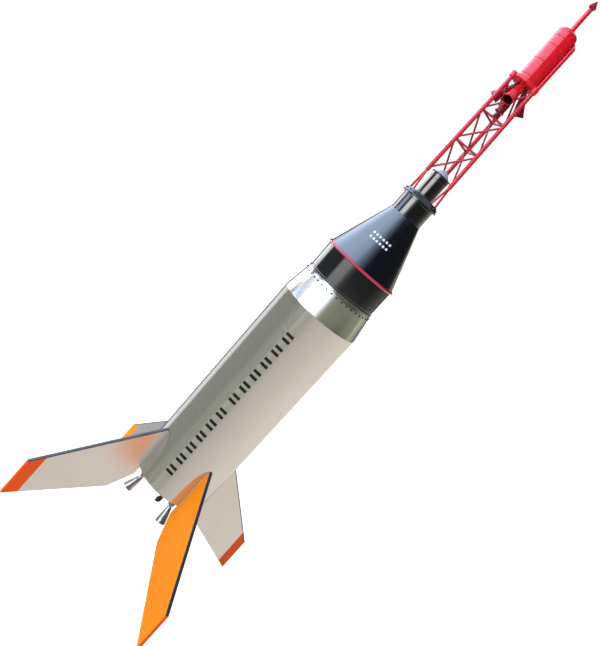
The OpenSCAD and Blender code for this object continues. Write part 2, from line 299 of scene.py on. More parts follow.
    @staticmethod
    def bar(
        name: str, start: Vector, end: Vector, diameter: float, flare: float = 1.0
    ) -> Piece:
        """Makes a round bar whose ends widen a little, as glue does where it meets a leg.

        Args:
            name: The new object's name.
            start: Centre of one end, in metres.
            end: Centre of the other end, in metres.
            diameter: The bar's diameter, in millimetres.
            flare: How many times wider the ends are than the bar.

        Returns:
            The finished object.
        """
        Bench.deselect()
        along = end - start
        radius = diameter / 2 * MM
        bpy.ops.mesh.primitive_cylinder_add(
            vertices=Bench.BAR_SIDES, radius=radius, depth=along.length, end_fill_type="NGON"
        )
        piece = Bench.named(name)
        if flare > 1.0:
            Bench._flare(piece, along.length, radius, flare)
        piece.rotation_mode = "QUATERNION"
        piece.rotation_quaternion = along.to_track_quat("Z", "Y")
        piece.location = (start + end) / 2
        bpy.ops.object.transform_apply(location=True, rotation=True, scale=True)
        return Bench.softened(piece, Bench.BAR_SOFT)

    @staticmethod
    def _flare(piece: Piece, length: float, radius: float, flare: float) -> None:
        """Cuts a bar near both ends and widens the end rings.

        Args:
            piece: The bar, upright on the origin.
            length: Its length, in metres.
            radius: Its radius, in metres.
            flare: How many times wider the ends become.
        """
        bpy.ops.object.mode_set(mode="EDIT")
        for side in (1, -1):
            for share in (Bench.FLARE_REACH, Bench.FLARE_WAIST):
                level = side * (length / 2 - share * radius)
                bpy.ops.mesh.select_all(action="SELECT")
                bpy.ops.mesh.bisect(plane_co=(0, 0, level), plane_no=(0, 0, 1))
        bpy.ops.mesh.select_all(action="DESELECT")
        bpy.ops.object.mode_set(mode="OBJECT")
        for vertex in piece.data.vertices:
            to_end = length / 2 - abs(vertex.co.z)
            share = max(0.0, 1.0 - to_end / (Bench.FLARE_REACH * radius))
            grow = 1.0 + (flare - 1.0) * share * share
            vertex.co.x *= grow
            vertex.co.y *= grow

    @staticmethod
    def joined(name: str, parts: Sequence[Piece]) -> Piece:
        """Joins finished solids into one piece, each keeping its own mesh inside it.

        Args:
            name: The joined object's name.
            parts: The objects to join.

        Returns:
            The joined object.
        """
        Bench.grip(*parts)
        bpy.ops.object.join()
        return Bench.named(name)

    @staticmethod
    def lean(piece: Piece, seat: Vector, azimuth: float, cant: float) -> None:
        """Leans a piece made on the axis outwards and moves it to its seat, in its mesh.

        Args:
            piece: A piece whose own axis is Z and whose seat is its origin.
            seat: Where its origin goes, in metres.
            azimuth: The way it leans, in degrees from the front.
            cant: How far its lower end leans outwards, in degrees.
        """
        Bench.grip(piece)
        piece.rotation_mode = "XYZ"
        piece.rotation_euler = (-math.radians(cant), 0, math.radians(azimuth))
        piece.location = seat
        bpy.ops.object.transform_apply(location=True, rotation=True, scale=True)


@dataclass(frozen=True)
class Wiring:
    """Adds nodes to one tree, and feeds them.

    Attributes:
        tree: The node tree.
    """

    tree: bpy.types.NodeTree

    def add(
        self, kind: str, feeds: dict[str | int, Feed] | None = None, **choices: object
    ) -> bpy.types.Node:
        """Adds a node, makes its choices and feeds its inputs.

        Args:
            kind: The node's type, without the word ShaderNode.
            feeds: What each input gets, a link from a socket or a plain value.
            choices: The node's own settings.

        Returns:
            The node.
        """
        node = self.tree.nodes.new(f"ShaderNode{kind}")
        for name, choice in choices.items():
            setattr(node, name, choice)
        self.feed(node, feeds or {})
        return node

    def feed(self, node: bpy.types.Node, feeds: dict[str | int, Feed]) -> None:
        """Feeds the inputs of a node.

        Args:
            node: The node.
            feeds: What each input gets, a link from a socket or a plain value.
        """
        for name, feed in feeds.items():
            if isinstance(feed, Socket):
                self.tree.links.new(feed, node.inputs[name])
            else:
                node.inputs[name].default_value = feed

    def sum(self, operation: str, *feeds: Feed) -> Socket:
        """Works out one sum of the feeds."""
        return self.add("Math", dict(enumerate(feeds)), operation=operation).outputs[0]

    def eased(self, value: Socket, low: float, high: float) -> Socket:
        """Stretches a value smoothly, so that the low level becomes 0 and the high one 1."""
        feeds = {"Value": value, "From Min": low, "From Max": high}
        return self.add("MapRange", feeds, interpolation_type="SMOOTHSTEP").outputs["Result"]

    def mixed(self, share: Socket, first: Feed, second: Feed) -> Socket:
        """Mixes two colours, with the given share of the second one."""
        feeds = {"Factor": share, "A": first, "B": second}
        return self.add("Mix", feeds, data_type="RGBA").outputs["Result"]


# ------------------------------------------------------------------------------ shader groups


class Wear(Enum):
    """The shared effects that finishes place on a surface."""

    MOTTLE = "surface_mottle"
    PEEL = "spray_peel"
    FLAKE = "metal_flake"
    BRUSHED = "turning_marks"
    GRAIN = "wood_grain"
    WEAVE = "cloth_weave"
    WRAP = "paper_wrap"


@dataclass(frozen=True)
class Effect:
    """The inside of one shared shader group. Each effect's method gives its mask, from 0 to 1.

    Attributes:
        wiring: The group's wiring.
        place: Where on the object a point is.
        scale: How many marks fit in a metre.
    """

    wiring: Wiring
    place: Socket
    scale: Socket

    @staticmethod
    def group(wear: Wear) -> bpy.types.NodeTree:
        """Gives the group for an effect, building it the first time.

        Args:
            wear: The effect.

        Returns:
            The shader node group.
        """
        found = bpy.data.node_groups.get(wear.value)
        if found:
            return found
        tree = bpy.data.node_groups.new(wear.value, "ShaderNodeTree")
        for name in ("Scale", "Amount"):
            tree.interface.new_socket(name, in_out="INPUT", socket_type="NodeSocketFloat")
        for name in ("Mask", "Height"):
            tree.interface.new_socket(name, in_out="OUTPUT", socket_type="NodeSocketFloat")
        wiring = Wiring(tree)
        entry = tree.nodes.new("NodeGroupInput")
        place = wiring.add("TexCoord").outputs["Object"]
        effect = Effect(wiring, place, entry.outputs["Scale"])
        mask = getattr(effect, wear.name.lower())()
        height = wiring.sum("MULTIPLY", mask, entry.outputs["Amount"])
        wiring.feed(tree.nodes.new("NodeGroupOutput"), {"Mask": mask, "Height": height})
        return tree

    def noise(self, detail: float, stretch: Colour = (1.0, 1.0, 1.0)) -> Socket:
        """Adds a noise, stretched along the axes.

        Args:
            detail: How much fine detail it has.
            stretch: How dense it is along X, Y and Z.

        Returns:
            Its value.
        """
        turn = self.wiring.add("Mapping", {"Vector": self.place, "Scale": stretch})
        feeds = {"Vector": turn.outputs["Vector"], "Scale": self.scale, "Detail": detail}
        return self.wiring.add("TexNoise", feeds).outputs["Fac"]

    def mottle(self) -> Socket:
        """Broad soft patches, as in hand-sprayed paint."""
        return self.wiring.eased(self.noise(3.0), 0.3, 0.7)

    def peel(self) -> Socket:
        """The fine dimples of gloss paint."""
        return self.noise(1.0)

    def flake(self) -> Socket:
        """The glitter of metallic paint, as small cells of uneven brightness."""
        cells = self.wiring.add("TexVoronoi", {"Vector": self.place, "Scale": self.scale})
        return self.wiring.add("SeparateColor", {"Color": cells.outputs["Color"]}).outputs["Red"]

    def brushed(self) -> Socket:
        """Fine rings from turning and polishing, stacked along the axis."""
        return self.noise(4.0, (0.03, 0.03, 1.0))

    def grain(self) -> Socket:
        """Grain lines that run up and down the wood."""
        return self.wiring.eased(self.noise(6.0, (1.0, 1.0, 0.06)), 0.35, 0.75)

    def weave(self) -> Socket:
        """Crossed threads of a light cloth.

        Returns:
            1 where two threads cross, and 0 between the threads.
        """
        feeds = {"Vector": self.place, "Scale": self.scale}
        across, along = (
            self.wiring.add("TexWave", feeds, bands_direction=axis).outputs["Fac"]
            for axis in ("X", "Z")
        )
        return self.wiring.sum("MULTIPLY", across, along)

    def wrap(self) -> Socket:
        """The shallow spiral seams of a wound paper tube.

        Returns:
            0 in a seam, and 1 away from it.
        """
        spot = self.wiring.add("SeparateXYZ", {0: self.place}).outputs
        angle = self.wiring.sum("ARCTAN2", spot["Y"], spot["X"])
        turns = self.wiring.sum("DIVIDE", angle, FULL_TURN)
        climb = self.wiring.sum("MULTIPLY_ADD", spot["Z"], self.scale, turns)
        return self.wiring.eased(self.wiring.sum("FRACT", climb), 0.0, 0.02)


# ------------------------------------------------------------------------------------ finishes


@dataclass(frozen=True)
class Layer:
    """One shared effect as a finish uses it.

    Attributes:
        wear: The effect.
        scale: How many of its marks fit in a metre.
        tint: How far it shades the colour, from 0 to 1.
        gloss: How much it adds to the roughness at most.
        relief: How deep it dents the surface, in millimetres.
    """

    wear: Wear
    scale: float
    tint: float = 0.0
    gloss: float = 0.0
    relief: float = 0.0


@dataclass(frozen=True)
class Finish:
    """A paint, metal, paper or cloth.

    Attributes:
        name: The material's name.
        colour: Its main colour.
        shade: The colour that its effects darken or lighten it towards.
        roughness: How matt it is where the effects leave it alone.
        metallic: 1 for bare metal, and less for metallic paint.
        coat: Weight of a clear coat.
        coat_roughness: How matt the clear coat is.
        coat_ior: Refractive index of the clear coat, which sets how strongly it mirrors.
        sheen: Weight of a cloth's soft sheen.
        specular: Strength of the plain gloss.
        layers: The shared effects on it.
    """

    name: str
    colour: Colour
    shade: Colour
    roughness: float
    metallic: float = 0.0
    coat: float = 0.0
    coat_roughness: float = 0.05
    coat_ior: float = 1.5
    sheen: float = 0.0
    specular: float = 0.5
    layers: tuple[Layer, ...] = ()

    def material(self) -> bpy.types.Material:
        """Builds the material the first time, and gives the same one afterwards.

        Returns:
            The Blender material.
        """
        found = bpy.data.materials.get(self.name)
        if found:
            return found
        made = bpy.data.materials.new(self.name)
        made.use_nodes = True
        wiring = Wiring(made.node_tree)
        wiring.feed(made.node_tree.nodes["Principled BSDF"], {
            "Metallic": self.metallic,
            "Coat Weight": self.coat,
            "Coat Roughness": self.coat_roughness,
            "Coat IOR": self.coat_ior,
            "Sheen Weight": self.sheen,
            "Specular IOR Level": self.specular,
            **self._layered(wiring),
        })
        return made

    def _layered(self, wiring: Wiring) -> dict[str, Feed]:
        """Adds each layer to the colour, the roughness and the relief in turn.

        Args:
            wiring: The material's wiring.

        Returns:
            What the shader's colour, roughness and normal get.
        """
        colour: Feed = (*self.colour, 1)
        rough: Feed = self.roughness
        height = None
        deepest = max((layer.relief for layer in self.layers), default=0.0)
        for layer in self.layers:
            effect = wiring.add("Group", node_tree=Effect.group(layer.wear))
            amount = layer.relief / deepest if deepest else 0.0
            wiring.feed(effect, {"Scale": layer.scale, "Amount": amount})
            mask, relief = effect.outputs["Mask"], effect.outputs["Height"]
            if layer.tint:
                share = wiring.sum("MULTIPLY", mask, layer.tint)
                colour = wiring.mixed(share, colour, (*self.shade, 1))
            if layer.gloss:
                rough = wiring.sum("MULTIPLY_ADD", mask, layer.gloss, rough)
            if layer.relief:
                height = wiring.sum("ADD", height, relief) if height else relief
        feeds = {"Base Color": colour, "Roughness": rough}
        if height:
            bump = wiring.add("Bump", {"Distance": deepest * MM, "Height": height})
            feeds["Normal"] = bump.outputs["Normal"]
        return feeds


def gloss_paint(
    name: str, colour: Colour, shade: Colour, coat_ior: float = 1.5, gloss: float = 1.0
) -> Finish:
    """Gives a glossy sprayed finish with a clear coat and a light orange peel.

    Args:
        name: The material's name.
        colour: Its main colour.
        shade: The colour of its soft patches.
        coat_ior: Refractive index of the clear coat.
        gloss: How strongly it mirrors, from 0 to 1.

    Returns:
        The finish.
    """
    return Finish(
        name,
        colour,
        shade,
        roughness=0.12,
        coat=gloss,
        coat_roughness=0.04,
        coat_ior=coat_ior,
        specular=gloss / 2,
        layers=(
            Layer(Wear.MOTTLE, 60, tint=0.3, gloss=0.05),
            Layer(Wear.PEEL, 500, relief=0.0012),
        ),
    )


SILVER_LAYERS = (
    Layer(Wear.MOTTLE, 28, tint=0.3, gloss=0.02),
    Layer(Wear.FLAKE, 9000, tint=0.07, gloss=0.02),
)
SILVER_TUBE = Finish(
    "silver_tube_paint", (0.68, 0.66, 0.625), (0.60, 0.585, 0.555),
    roughness=0.085, metallic=0.92,
    layers=(*SILVER_LAYERS, Layer(Wear.WRAP, 22, relief=0.006)),
)
SILVER_WOOD = Finish(
    "silver_fin_paint", (0.74, 0.70, 0.645), (0.64, 0.60, 0.55),
    roughness=0.22, metallic=0.80,
    layers=(*SILVER_LAYERS, Layer(Wear.GRAIN, 400, relief=0.01)),
)
SILVER_GLUE = Finish(
    "silver_painted_glue", (0.50, 0.48, 0.45), (0.42, 0.40, 0.37),
    roughness=0.5, metallic=0.5,
    layers=(Layer(Wear.MOTTLE, 200, tint=0.4, gloss=0.1, relief=0.02),),
)
# Painted dark reflection for the fins' leading edges: a near-black grey that stands in for the dark
# surroundings that the rounded silver edge mirrors.
LEADING_EDGE_REFLECTION = Finish(
    "leading_edge_painted_reflection", (0.050, 0.051, 0.055), (0.028, 0.028, 0.031),
    roughness=0.40, metallic=0.1,
    layers=(Layer(Wear.MOTTLE, 120, tint=0.5, gloss=0.1), Layer(Wear.GRAIN, 600, relief=0.02)),
)
ORANGE_FACE = Finish(
    "orange_face_paint", (0.90, 0.240, 0.004), (0.84, 0.21, 0.004),
    roughness=0.45, coat=0.04, coat_roughness=0.15, specular=0.1,
    layers=(Layer(Wear.MOTTLE, 30, tint=0.5, gloss=0.05), Layer(Wear.GRAIN, 500, relief=0.015)),
)
TIP_BAND = Finish(
    "red_orange_tip_paint", (0.98, 0.108, 0.006), (0.92, 0.09, 0.005),
    roughness=0.45, coat=0.05, coat_roughness=0.15, specular=0.12,
    layers=(Layer(Wear.MOTTLE, 50, tint=0.5, gloss=0.05), Layer(Wear.GRAIN, 500, relief=0.015)),
)
POLISHED = Finish(
    "polished_adapter_metal", (0.80, 0.81, 0.78), (0.62, 0.63, 0.60),
    roughness=0.10, metallic=1.0,
    layers=(
        Layer(Wear.BRUSHED, 2600, tint=0.25, gloss=0.10, relief=0.004),
        Layer(Wear.MOTTLE, 40, tint=0.1, gloss=0.05),
    ),
)
# Near-black dots round the adapter's upper edge.
DARK_DOT = Finish(
    "dark_rivet_heads", (0.02, 0.02, 0.02), (0.05, 0.05, 0.05),
    roughness=0.6, specular=0.2,
    layers=(Layer(Wear.MOTTLE, 900, tint=0.6, gloss=0.1),),
)
MARK_BLACK = Finish(
    "black_mark_film", (0.006, 0.006, 0.006), (0.015, 0.015, 0.015),
    roughness=0.5, specular=0.2,
    layers=(Layer(Wear.MOTTLE, 300, tint=0.5, gloss=0.1),),
)
MARK_WHITE = Finish(
    "white_mark_film", (0.88, 0.88, 0.88), (0.75, 0.76, 0.78),
    roughness=0.4,
    layers=(Layer(Wear.MOTTLE, 300, tint=0.4, gloss=0.1),),
)
CAPSULE_BLACK = gloss_paint(
    "capsule_black_gloss", (0.004, 0.0045, 0.0055), (0.008, 0.009, 0.011), coat_ior=1.75
)
RING_CRIMSON = gloss_paint("clamp_ring_crimson", (0.60, 0.012, 0.045), (0.48, 0.008, 0.035))
TOWER_RED = gloss_paint("tower_red_gloss", (0.84, 0.008, 0.018), (0.66, 0.006, 0.014), gloss=0.7)
# Painted shade: a darker copy of the tower red for the legs and their feet.
LEG_PAINTED_SHADE = gloss_paint("tower_leg_red_painted_shade", (0.66, 0.008, 0.026), (0.50, 0.006, 0.020), gloss=0.7)
# Painted shade: a darker copy of the tower red for the braces and diagonals inside the lattice.
BRACE_PAINTED_SHADE = gloss_paint("brace_red_painted_shade", (0.44, 0.006, 0.020), (0.30, 0.004, 0.014), gloss=0.6)
# A darker copy of the tower red. On the side escape nozzles and the jettison motor it is painted
# shade; the spike's arrow tip is this dark red too.
DARK_RED_AND_SHADE = gloss_paint("nozzle_dark_red_and_painted_shade", (0.27, 0.004, 0.012), (0.14, 0.003, 0.008), gloss=0.5)
# Painted shade for the inside of the escape nozzles: a near-black red with a random mottle.
INSIDE_SHADE_RED = Finish(
    "nozzle_inside_painted_shade", (0.05, 0.004, 0.005), (0.015, 0.003, 0.003),
    roughness=0.7, specular=0.2,
    layers=(Layer(Wear.MOTTLE, 500, tint=0.7, gloss=0.1),),
)
CAP_GREY = Finish(
    "light_grey_cap", (0.50, 0.53, 0.58), (0.36, 0.38, 0.42),
    roughness=0.42,
    layers=(Layer(Wear.MOTTLE, 400, tint=0.5, gloss=0.1), Layer(Wear.PEEL, 1800, relief=0.01)),
)
NOZZLE_METAL = Finish(
    "nozzle_streaked_metal", (0.62, 0.61, 0.58), (0.10, 0.10, 0.09),
    roughness=0.22, metallic=0.95,
    layers=(
        Layer(Wear.GRAIN, 700, tint=0.75, gloss=0.15, relief=0.01),
        Layer(Wear.MOTTLE, 250, tint=0.4),
    ),
)
BASE_BLACK = Finish(
    "base_satin_black", (0.02, 0.02, 0.02), (0.05, 0.045, 0.04),
    roughness=0.55,
    layers=(Layer(Wear.GRAIN, 400, tint=0.6, gloss=0.1, relief=0.02),),
)
KRAFT = Finish(
    "wound_kraft_paper", (0.48, 0.33, 0.19), (0.36, 0.24, 0.13),
    roughness=0.75,
    layers=(
        Layer(Wear.MOTTLE, 260, tint=0.6, gloss=0.1, relief=0.01),
        Layer(Wear.WRAP, 45, relief=0.03),
    ),
)
PLYWOOD = Finish(
    "birch_plywood", (0.62, 0.45, 0.27), (0.42, 0.28, 0.15),
    roughness=0.6,
    layers=(Layer(Wear.GRAIN, 900, tint=0.7, gloss=0.1, relief=0.02),),
)
SPRING_STEEL = Finish(
    "dark_spring_steel", (0.055, 0.036, 0.034), (0.025, 0.016, 0.015),
    roughness=0.42, metallic=0.7,
    layers=(Layer(Wear.GRAIN, 1500, tint=0.4, gloss=0.15, relief=0.003),),
)
CANOPY_CLOTH = Finish(
    "canopy_cloth", (0.85, 0.22, 0.05), (0.60, 0.12, 0.03),
    roughness=0.7, sheen=0.4,
    layers=(
        Layer(Wear.WEAVE, 900, tint=0.35, relief=0.03),
        Layer(Wear.MOTTLE, 90, tint=0.35, gloss=0.1),
    ),
)


# -------------------------------------------------------------------------------- assemblies


@dataclass
class Assembly:
    """A sub-assembly that rides on one body of the frame.

    Attributes:
        body: The frame's body.
        made: The pieces built so far.
    """

    body: str
    made: list[Piece] = field(default_factory=list)

    def keep(self, piece: Piece, finish: Finish, slot: str, *nodes: str) -> None:
        """Dresses a new piece and hangs it on the body.

        Args:
            piece: The finished mesh.
            finish: Its paint or material, unless it has been painted already.
            slot: A material slot's name; not used.
            nodes: The frame's nodes that it stands for.
        """
        if not piece.data.materials:
            piece.data.materials.append(finish.material())
        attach(piece, self.body)
        if nodes:
            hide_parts(*nodes)
        self.made.append(piece)
        LOG.info("%s rides on %s", piece.name, self.body)

    @staticmethod
    def dress(finish: Finish, *nodes: str) -> None:
        """Gives nodes that keep their shape a better material.

        Args:
            finish: The paint or material.
            nodes: The frame's nodes.
        """
        for node in nodes:
            target = bpy.data.objects[node].data
            target.materials.clear()
            target.materials.append(finish.material())
            LOG.info("%s dressed", node)


@dataclass
class Airframe(Assembly):
    """The painted tube, its marking column and its lug.

    Attributes:
        wall: The tube's wall, in millimetres.
        mark_width: Width of a mark's bars round the tube.
        bar_height: Height of one bar of a mark.
        bar_gap: Space between a mark's two bars.
        mark_pitch: Height from one mark to the next.
        first_mark: Height of the lowest mark's middle.
        marks_low: Number of marks below the gap.
        marks_high: Number of marks above it.
        column_gap: Extra height left between the two groups.
        column_azimuth: Where the column stands, in degrees from the front.
        film: Half the thickness of the marks.
        lug_wall: The lug's wall.
        lug_glue: Section of the glue under the lug, across it and out from the tube.
    """

    wall: float = 0.55
    mark_width: float = 5.6
    bar_height: float = 2.0
    bar_gap: float = 2.0
    mark_pitch: float = 10.2
    first_mark: float = 76.4
    marks_low: int = 6
    marks_high: int = 6
    column_gap: float = 2.5
    column_azimuth: float = 1.8
    film: float = 0.06
    lug_wall: float = 0.35
    lug_glue: tuple[Point, ...] = ((-2.3, -0.2), (2.3, -0.2), (1.1, 0.45), (-1.1, 0.45))

    def build(self) -> None:
        """Makes the tube, the marks and the lug."""
        radius, bottom, top = round_size("body_tube")
        inner = radius - self.wall
        tube = Bench.turned(
            "airframe_tube",
            [(radius, bottom), (radius, top), (inner, top), (inner, bottom)],
            steps=192,
            closed=True,
            soft=0.04,
        )
        self.keep(tube, SILVER_TUBE, "body_silver", "body_tube")
        self.mark_column(radius)
        self.lug()

    def mark_column(self, radius: float) -> None:
        """Lays the column of paired bars on the tube's front.

        Args:
            radius: The tube's outer radius, in millimetres.
        """
        sweep = math.degrees(self.mark_width / radius)
        bars = []
        for index in range(self.marks_low + self.marks_high):
            middle = self.first_mark + index * self.mark_pitch
            if index >= self.marks_low:
                middle += self.column_gap
            for side in (-1, 1):
                centre = middle + side * (self.bar_height + self.bar_gap) / 2
                foot = (radius, centre - self.bar_height / 2)
                head = (radius, centre + self.bar_height / 2)
                bars.append(Bench.patch(foot, head, self.film, sweep, self.column_azimuth))
        column = Bench.joined("marking_column", bars)
        self.keep(column, MARK_BLACK, "rivet_dark")

    def lug(self) -> None:
        """Makes the rod lug on the far side, with glue along its foot."""
        low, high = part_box("launch_lug")
        outer = (high.x - low.x) / 2 / MM
        inner = outer - self.lug_wall
        bottom, top = low.z / MM, high.z / MM
        tube = Bench.turned(
            "rod_lug",
            [(outer, bottom), (outer, top), (inner, top), (inner, bottom)],
            steps=40,
            closed=True,
            soft=0.06,
        )
        Bench.lean(tube, Vector((0, (low.y + high.y) / 2, 0)), 0.0, 0.0)
        self.keep(tube, SILVER_TUBE, "body_silver", "launch_lug")
        wall = low.y + 0.1 * MM
        foot = [Vector((x * MM, wall + y * MM, bottom * MM)) for x, y in self.lug_glue]
        glue = Bench.plate("lug_glue_line", foot, Vector((0, 0, (top - bottom) * MM)), 0.25)
        self.keep(glue, SILVER_GLUE, "body_silver")


class Scheme(Enum):
    """How one face of a fin is painted."""

    RED_TIP = "silver with a red-orange tip"
    ORANGE_TIP = "silver with an orange tip"
    ORANGE = "orange all over"


@dataclass(frozen=True)
class FinPlan:
    """One fin.

    Attributes:
        corner: The corner that it stands on.
        ahead: Scheme of the face that looks towards larger azimuths.
        behind: Scheme of the other face.
    """

    corner: str
    ahead: Scheme
    behind: Scheme

    @property
    def node(self) -> str:
        """The frame's node."""
        return f"fin_{self.corner}"

    @property
    def azimuth(self) -> float:
        """Where it stands, in degrees from the front."""
        return CORNERS[self.corner]


CORNERS = {"front_left": -45.0, "front_right": 45.0, "back_right": 135.0, "back_left": -135.0}
FIN_PLANS = (
    FinPlan("front_left", Scheme.RED_TIP, Scheme.RED_TIP),
    FinPlan("front_right", Scheme.RED_TIP, Scheme.ORANGE),
    FinPlan("back_right", Scheme.RED_TIP, Scheme.RED_TIP),
    FinPlan("back_left", Scheme.ORANGE_TIP, Scheme.ORANGE),
)


@dataclass
class Fins(Assembly):
    """Four swept fins with tip bands, glue fillets and painted dark reflections along the leading
    edges.

    Attributes:
        thickness: Thickness of a fin, in millimetres.
        root_radius: Distance of the root edge from the axis.
        root_top: Height of the leading edge at the tube.
        reach: Distance of the lower outer corner from the axis.
        tip_lean: How much further in the upper outer corner is.
        tip_chord: Height of the tip edge.
        kink: Radius and height of the trailing edge's corner.
        heel: Radius of the part that reaches below the tube.
        heel_bottom: Height of that part's lower corner.
        tube_bottom: Height of the tube's lower edge.
        band: Width of the tip band.
        dark_edge_width: Width of the painted dark reflection along the leading edge.
        fillet: Width of the glue fillet at the root.
        fillet_stop: How far below the leading edge the fillet ends.
        fillet_sunk: How deep the fillet reaches into the tube and the fin.
        edge_paint: How far an edge's colour comes round onto the faces: the tip's red-orange paint
            and the leading edge's painted dark reflection.
        flatness: How squarely a face must look sideways to count as a side.
    """

    thickness: float = 2.4
    root_radius: float = 28.15
    root_top: float = 91.2
    reach: float = 91.4
    tip_lean: float = 1.2
    tip_chord: float = 29.3
    kink: Point = (36.55, 32.7)
    heel: float = 26.35
    heel_bottom: float = 49.8
    tube_bottom: float = 57.8
    band: float = 8.2
    dark_edge_width: float = 0.75
    fillet: float = 0.45
    fillet_stop: float = 1.5
    fillet_sunk: float = 0.25
    edge_paint: float = 0.4
    flatness: float = 0.7

    def build(self) -> None:
        """Makes the four fins and their fillets."""
        for plan in FIN_PLANS:
            self.fin(plan)
            self.fillets(plan)

    @staticmethod
    def directions(azimuth: float) -> tuple[Vector, Vector]:
        """Gives the outward and the sideways direction of a fin, as unit vectors."""
        out = around(1 / MM, azimuth, 0)
        return out, Vector((-out.y, out.x, 0))

    def outline(self) -> list[Point]:
        """Gives a fin's outline.

        Returns:
            Its corners as (radius, height), in millimetres.
        """
        return [
            (self.root_radius, self.root_top),
            (self.reach - self.tip_lean, self.tip_chord),
            (self.reach, 0.0),
            self.kink,
            (self.heel, self.heel_bottom),
            (self.heel, self.tube_bottom - 0.05),
            (self.root_radius, self.tube_bottom - 0.05),
        ]

    def leading_normal(self, out: Vector) -> Vector:
        """Gives the direction straight out of the leading edge.

        Args:
            out: The fin's outward direction.

        Returns:
            A unit vector.
        """
        run = self.reach - self.tip_lean - self.root_radius
        drop = self.root_top - self.tip_chord
        return (out * drop + Vector((0, 0, run))).normalized()

    def band_normal(self, out: Vector) -> Vector:
        """Gives the direction straight out of the tip edge of a fin that stands that way out."""
        return (out * self.tip_chord + Vector((0, 0, self.tip_lean))).normalized()

    def fin(self, plan: FinPlan) -> None:
        """Cuts one fin, rounds its edges and paints its faces.

        Args:
            plan: The fin.
        """
        out, side = self.directions(plan.azimuth)
        half = side * (self.thickness / 2 * MM)
        points = [out * (r * MM) + Vector((0, 0, z * MM)) - half for r, z in self.outline()]
        piece = Bench.plate(f"{plan.node}_plate", points, half * 2, 0.0)
        corner = out * (self.root_radius * MM) + Vector((0, 0, self.root_top * MM))
        leading = self.leading_normal(out)
        tip = out * (self.reach * MM)
        edge = self.band_normal(out)
        # The first cut bounds the strip of painted dark reflection along the leading edge.
        Bench.cut(piece, corner - leading * (self.dark_edge_width * MM), leading)
        Bench.cut(piece, tip - edge * (self.band * MM), edge)
        Bench.softened(piece, 0.3, 3)
        for finish in (SILVER_WOOD, LEADING_EDGE_REFLECTION, TIP_BAND, ORANGE_FACE):
            piece.data.materials.append(finish.material())
        schemes = {1: plan.ahead, -1: plan.behind}
        for face in piece.data.polygons:
            across = face.normal.dot(side)
            scheme = schemes[1 if across > 0 else -1]
            from_leading = -(face.center - corner).dot(leading) / MM
            from_tip = -(face.center - tip).dot(edge) / MM
            flat = abs(across) > self.flatness
            face.material_index = self.paint(scheme, flat, from_leading, from_tip)
        self.keep(piece, SILVER_WOOD, "fin_paint", plan.node)

    def paint(self, scheme: Scheme, flat: bool, from_leading: float, from_tip: float) -> int:
        """Chooses the colour of a face of the mesh, the painted dark reflection along the leading
        edge among them.

        Args:
            scheme: The scheme on its side of the fin.
            flat: Whether it belongs to the side, and not to an edge.
            from_leading: How far it is from the leading edge, in millimetres.
            from_tip: How far it is from the tip edge.

        Returns:
            The material's place in the fin's list: silver, painted dark reflection, red-orange or
            orange.
        """
        # The leading edge itself takes the painted dark reflection.
        if from_leading < self.edge_paint and from_leading < from_tip:
            return 1
        if from_tip < self.edge_paint:
            return 2
        if scheme is Scheme.ORANGE:
            return 3
        # So does a strip of the face beside the leading edge.
        if flat and from_leading < self.dark_edge_width:
            return 1
        if from_tip < self.band:
            return 3 if scheme is Scheme.ORANGE_TIP else 2
        return 0

    def fillets(self, plan: FinPlan) -> None:
        """Runs a bead of glue along both sides of the root.

        Args:
            plan: The fin.
        """
        out, side = self.directions(plan.azimuth)
        edge = self.thickness / 2
        sunk = self.fillet_sunk
        section = [
            (self.root_radius - sunk, edge - sunk),
            (self.root_radius + self.fillet, edge - sunk),
            (self.root_radius + self.fillet * 0.3, edge + self.fillet * 0.3),
            (self.root_radius - sunk, edge + self.fillet),
        ]
        foot = Vector((0, 0, self.tube_bottom * MM))
        rise = Vector((0, 0, (self.root_top - self.tube_bottom - self.fillet_stop) * MM))
        beads = []
        for turn in (-1, 1):
            points = [out * (r * MM) + side * (turn * s * MM) + foot for r, s in section]
            beads.append(Bench.plate("bead", points, rise, 0.15))
        bead = Bench.joined(f"{plan.node}_fillets", beads)
        self.keep(bead, SILVER_GLUE, "body_silver")


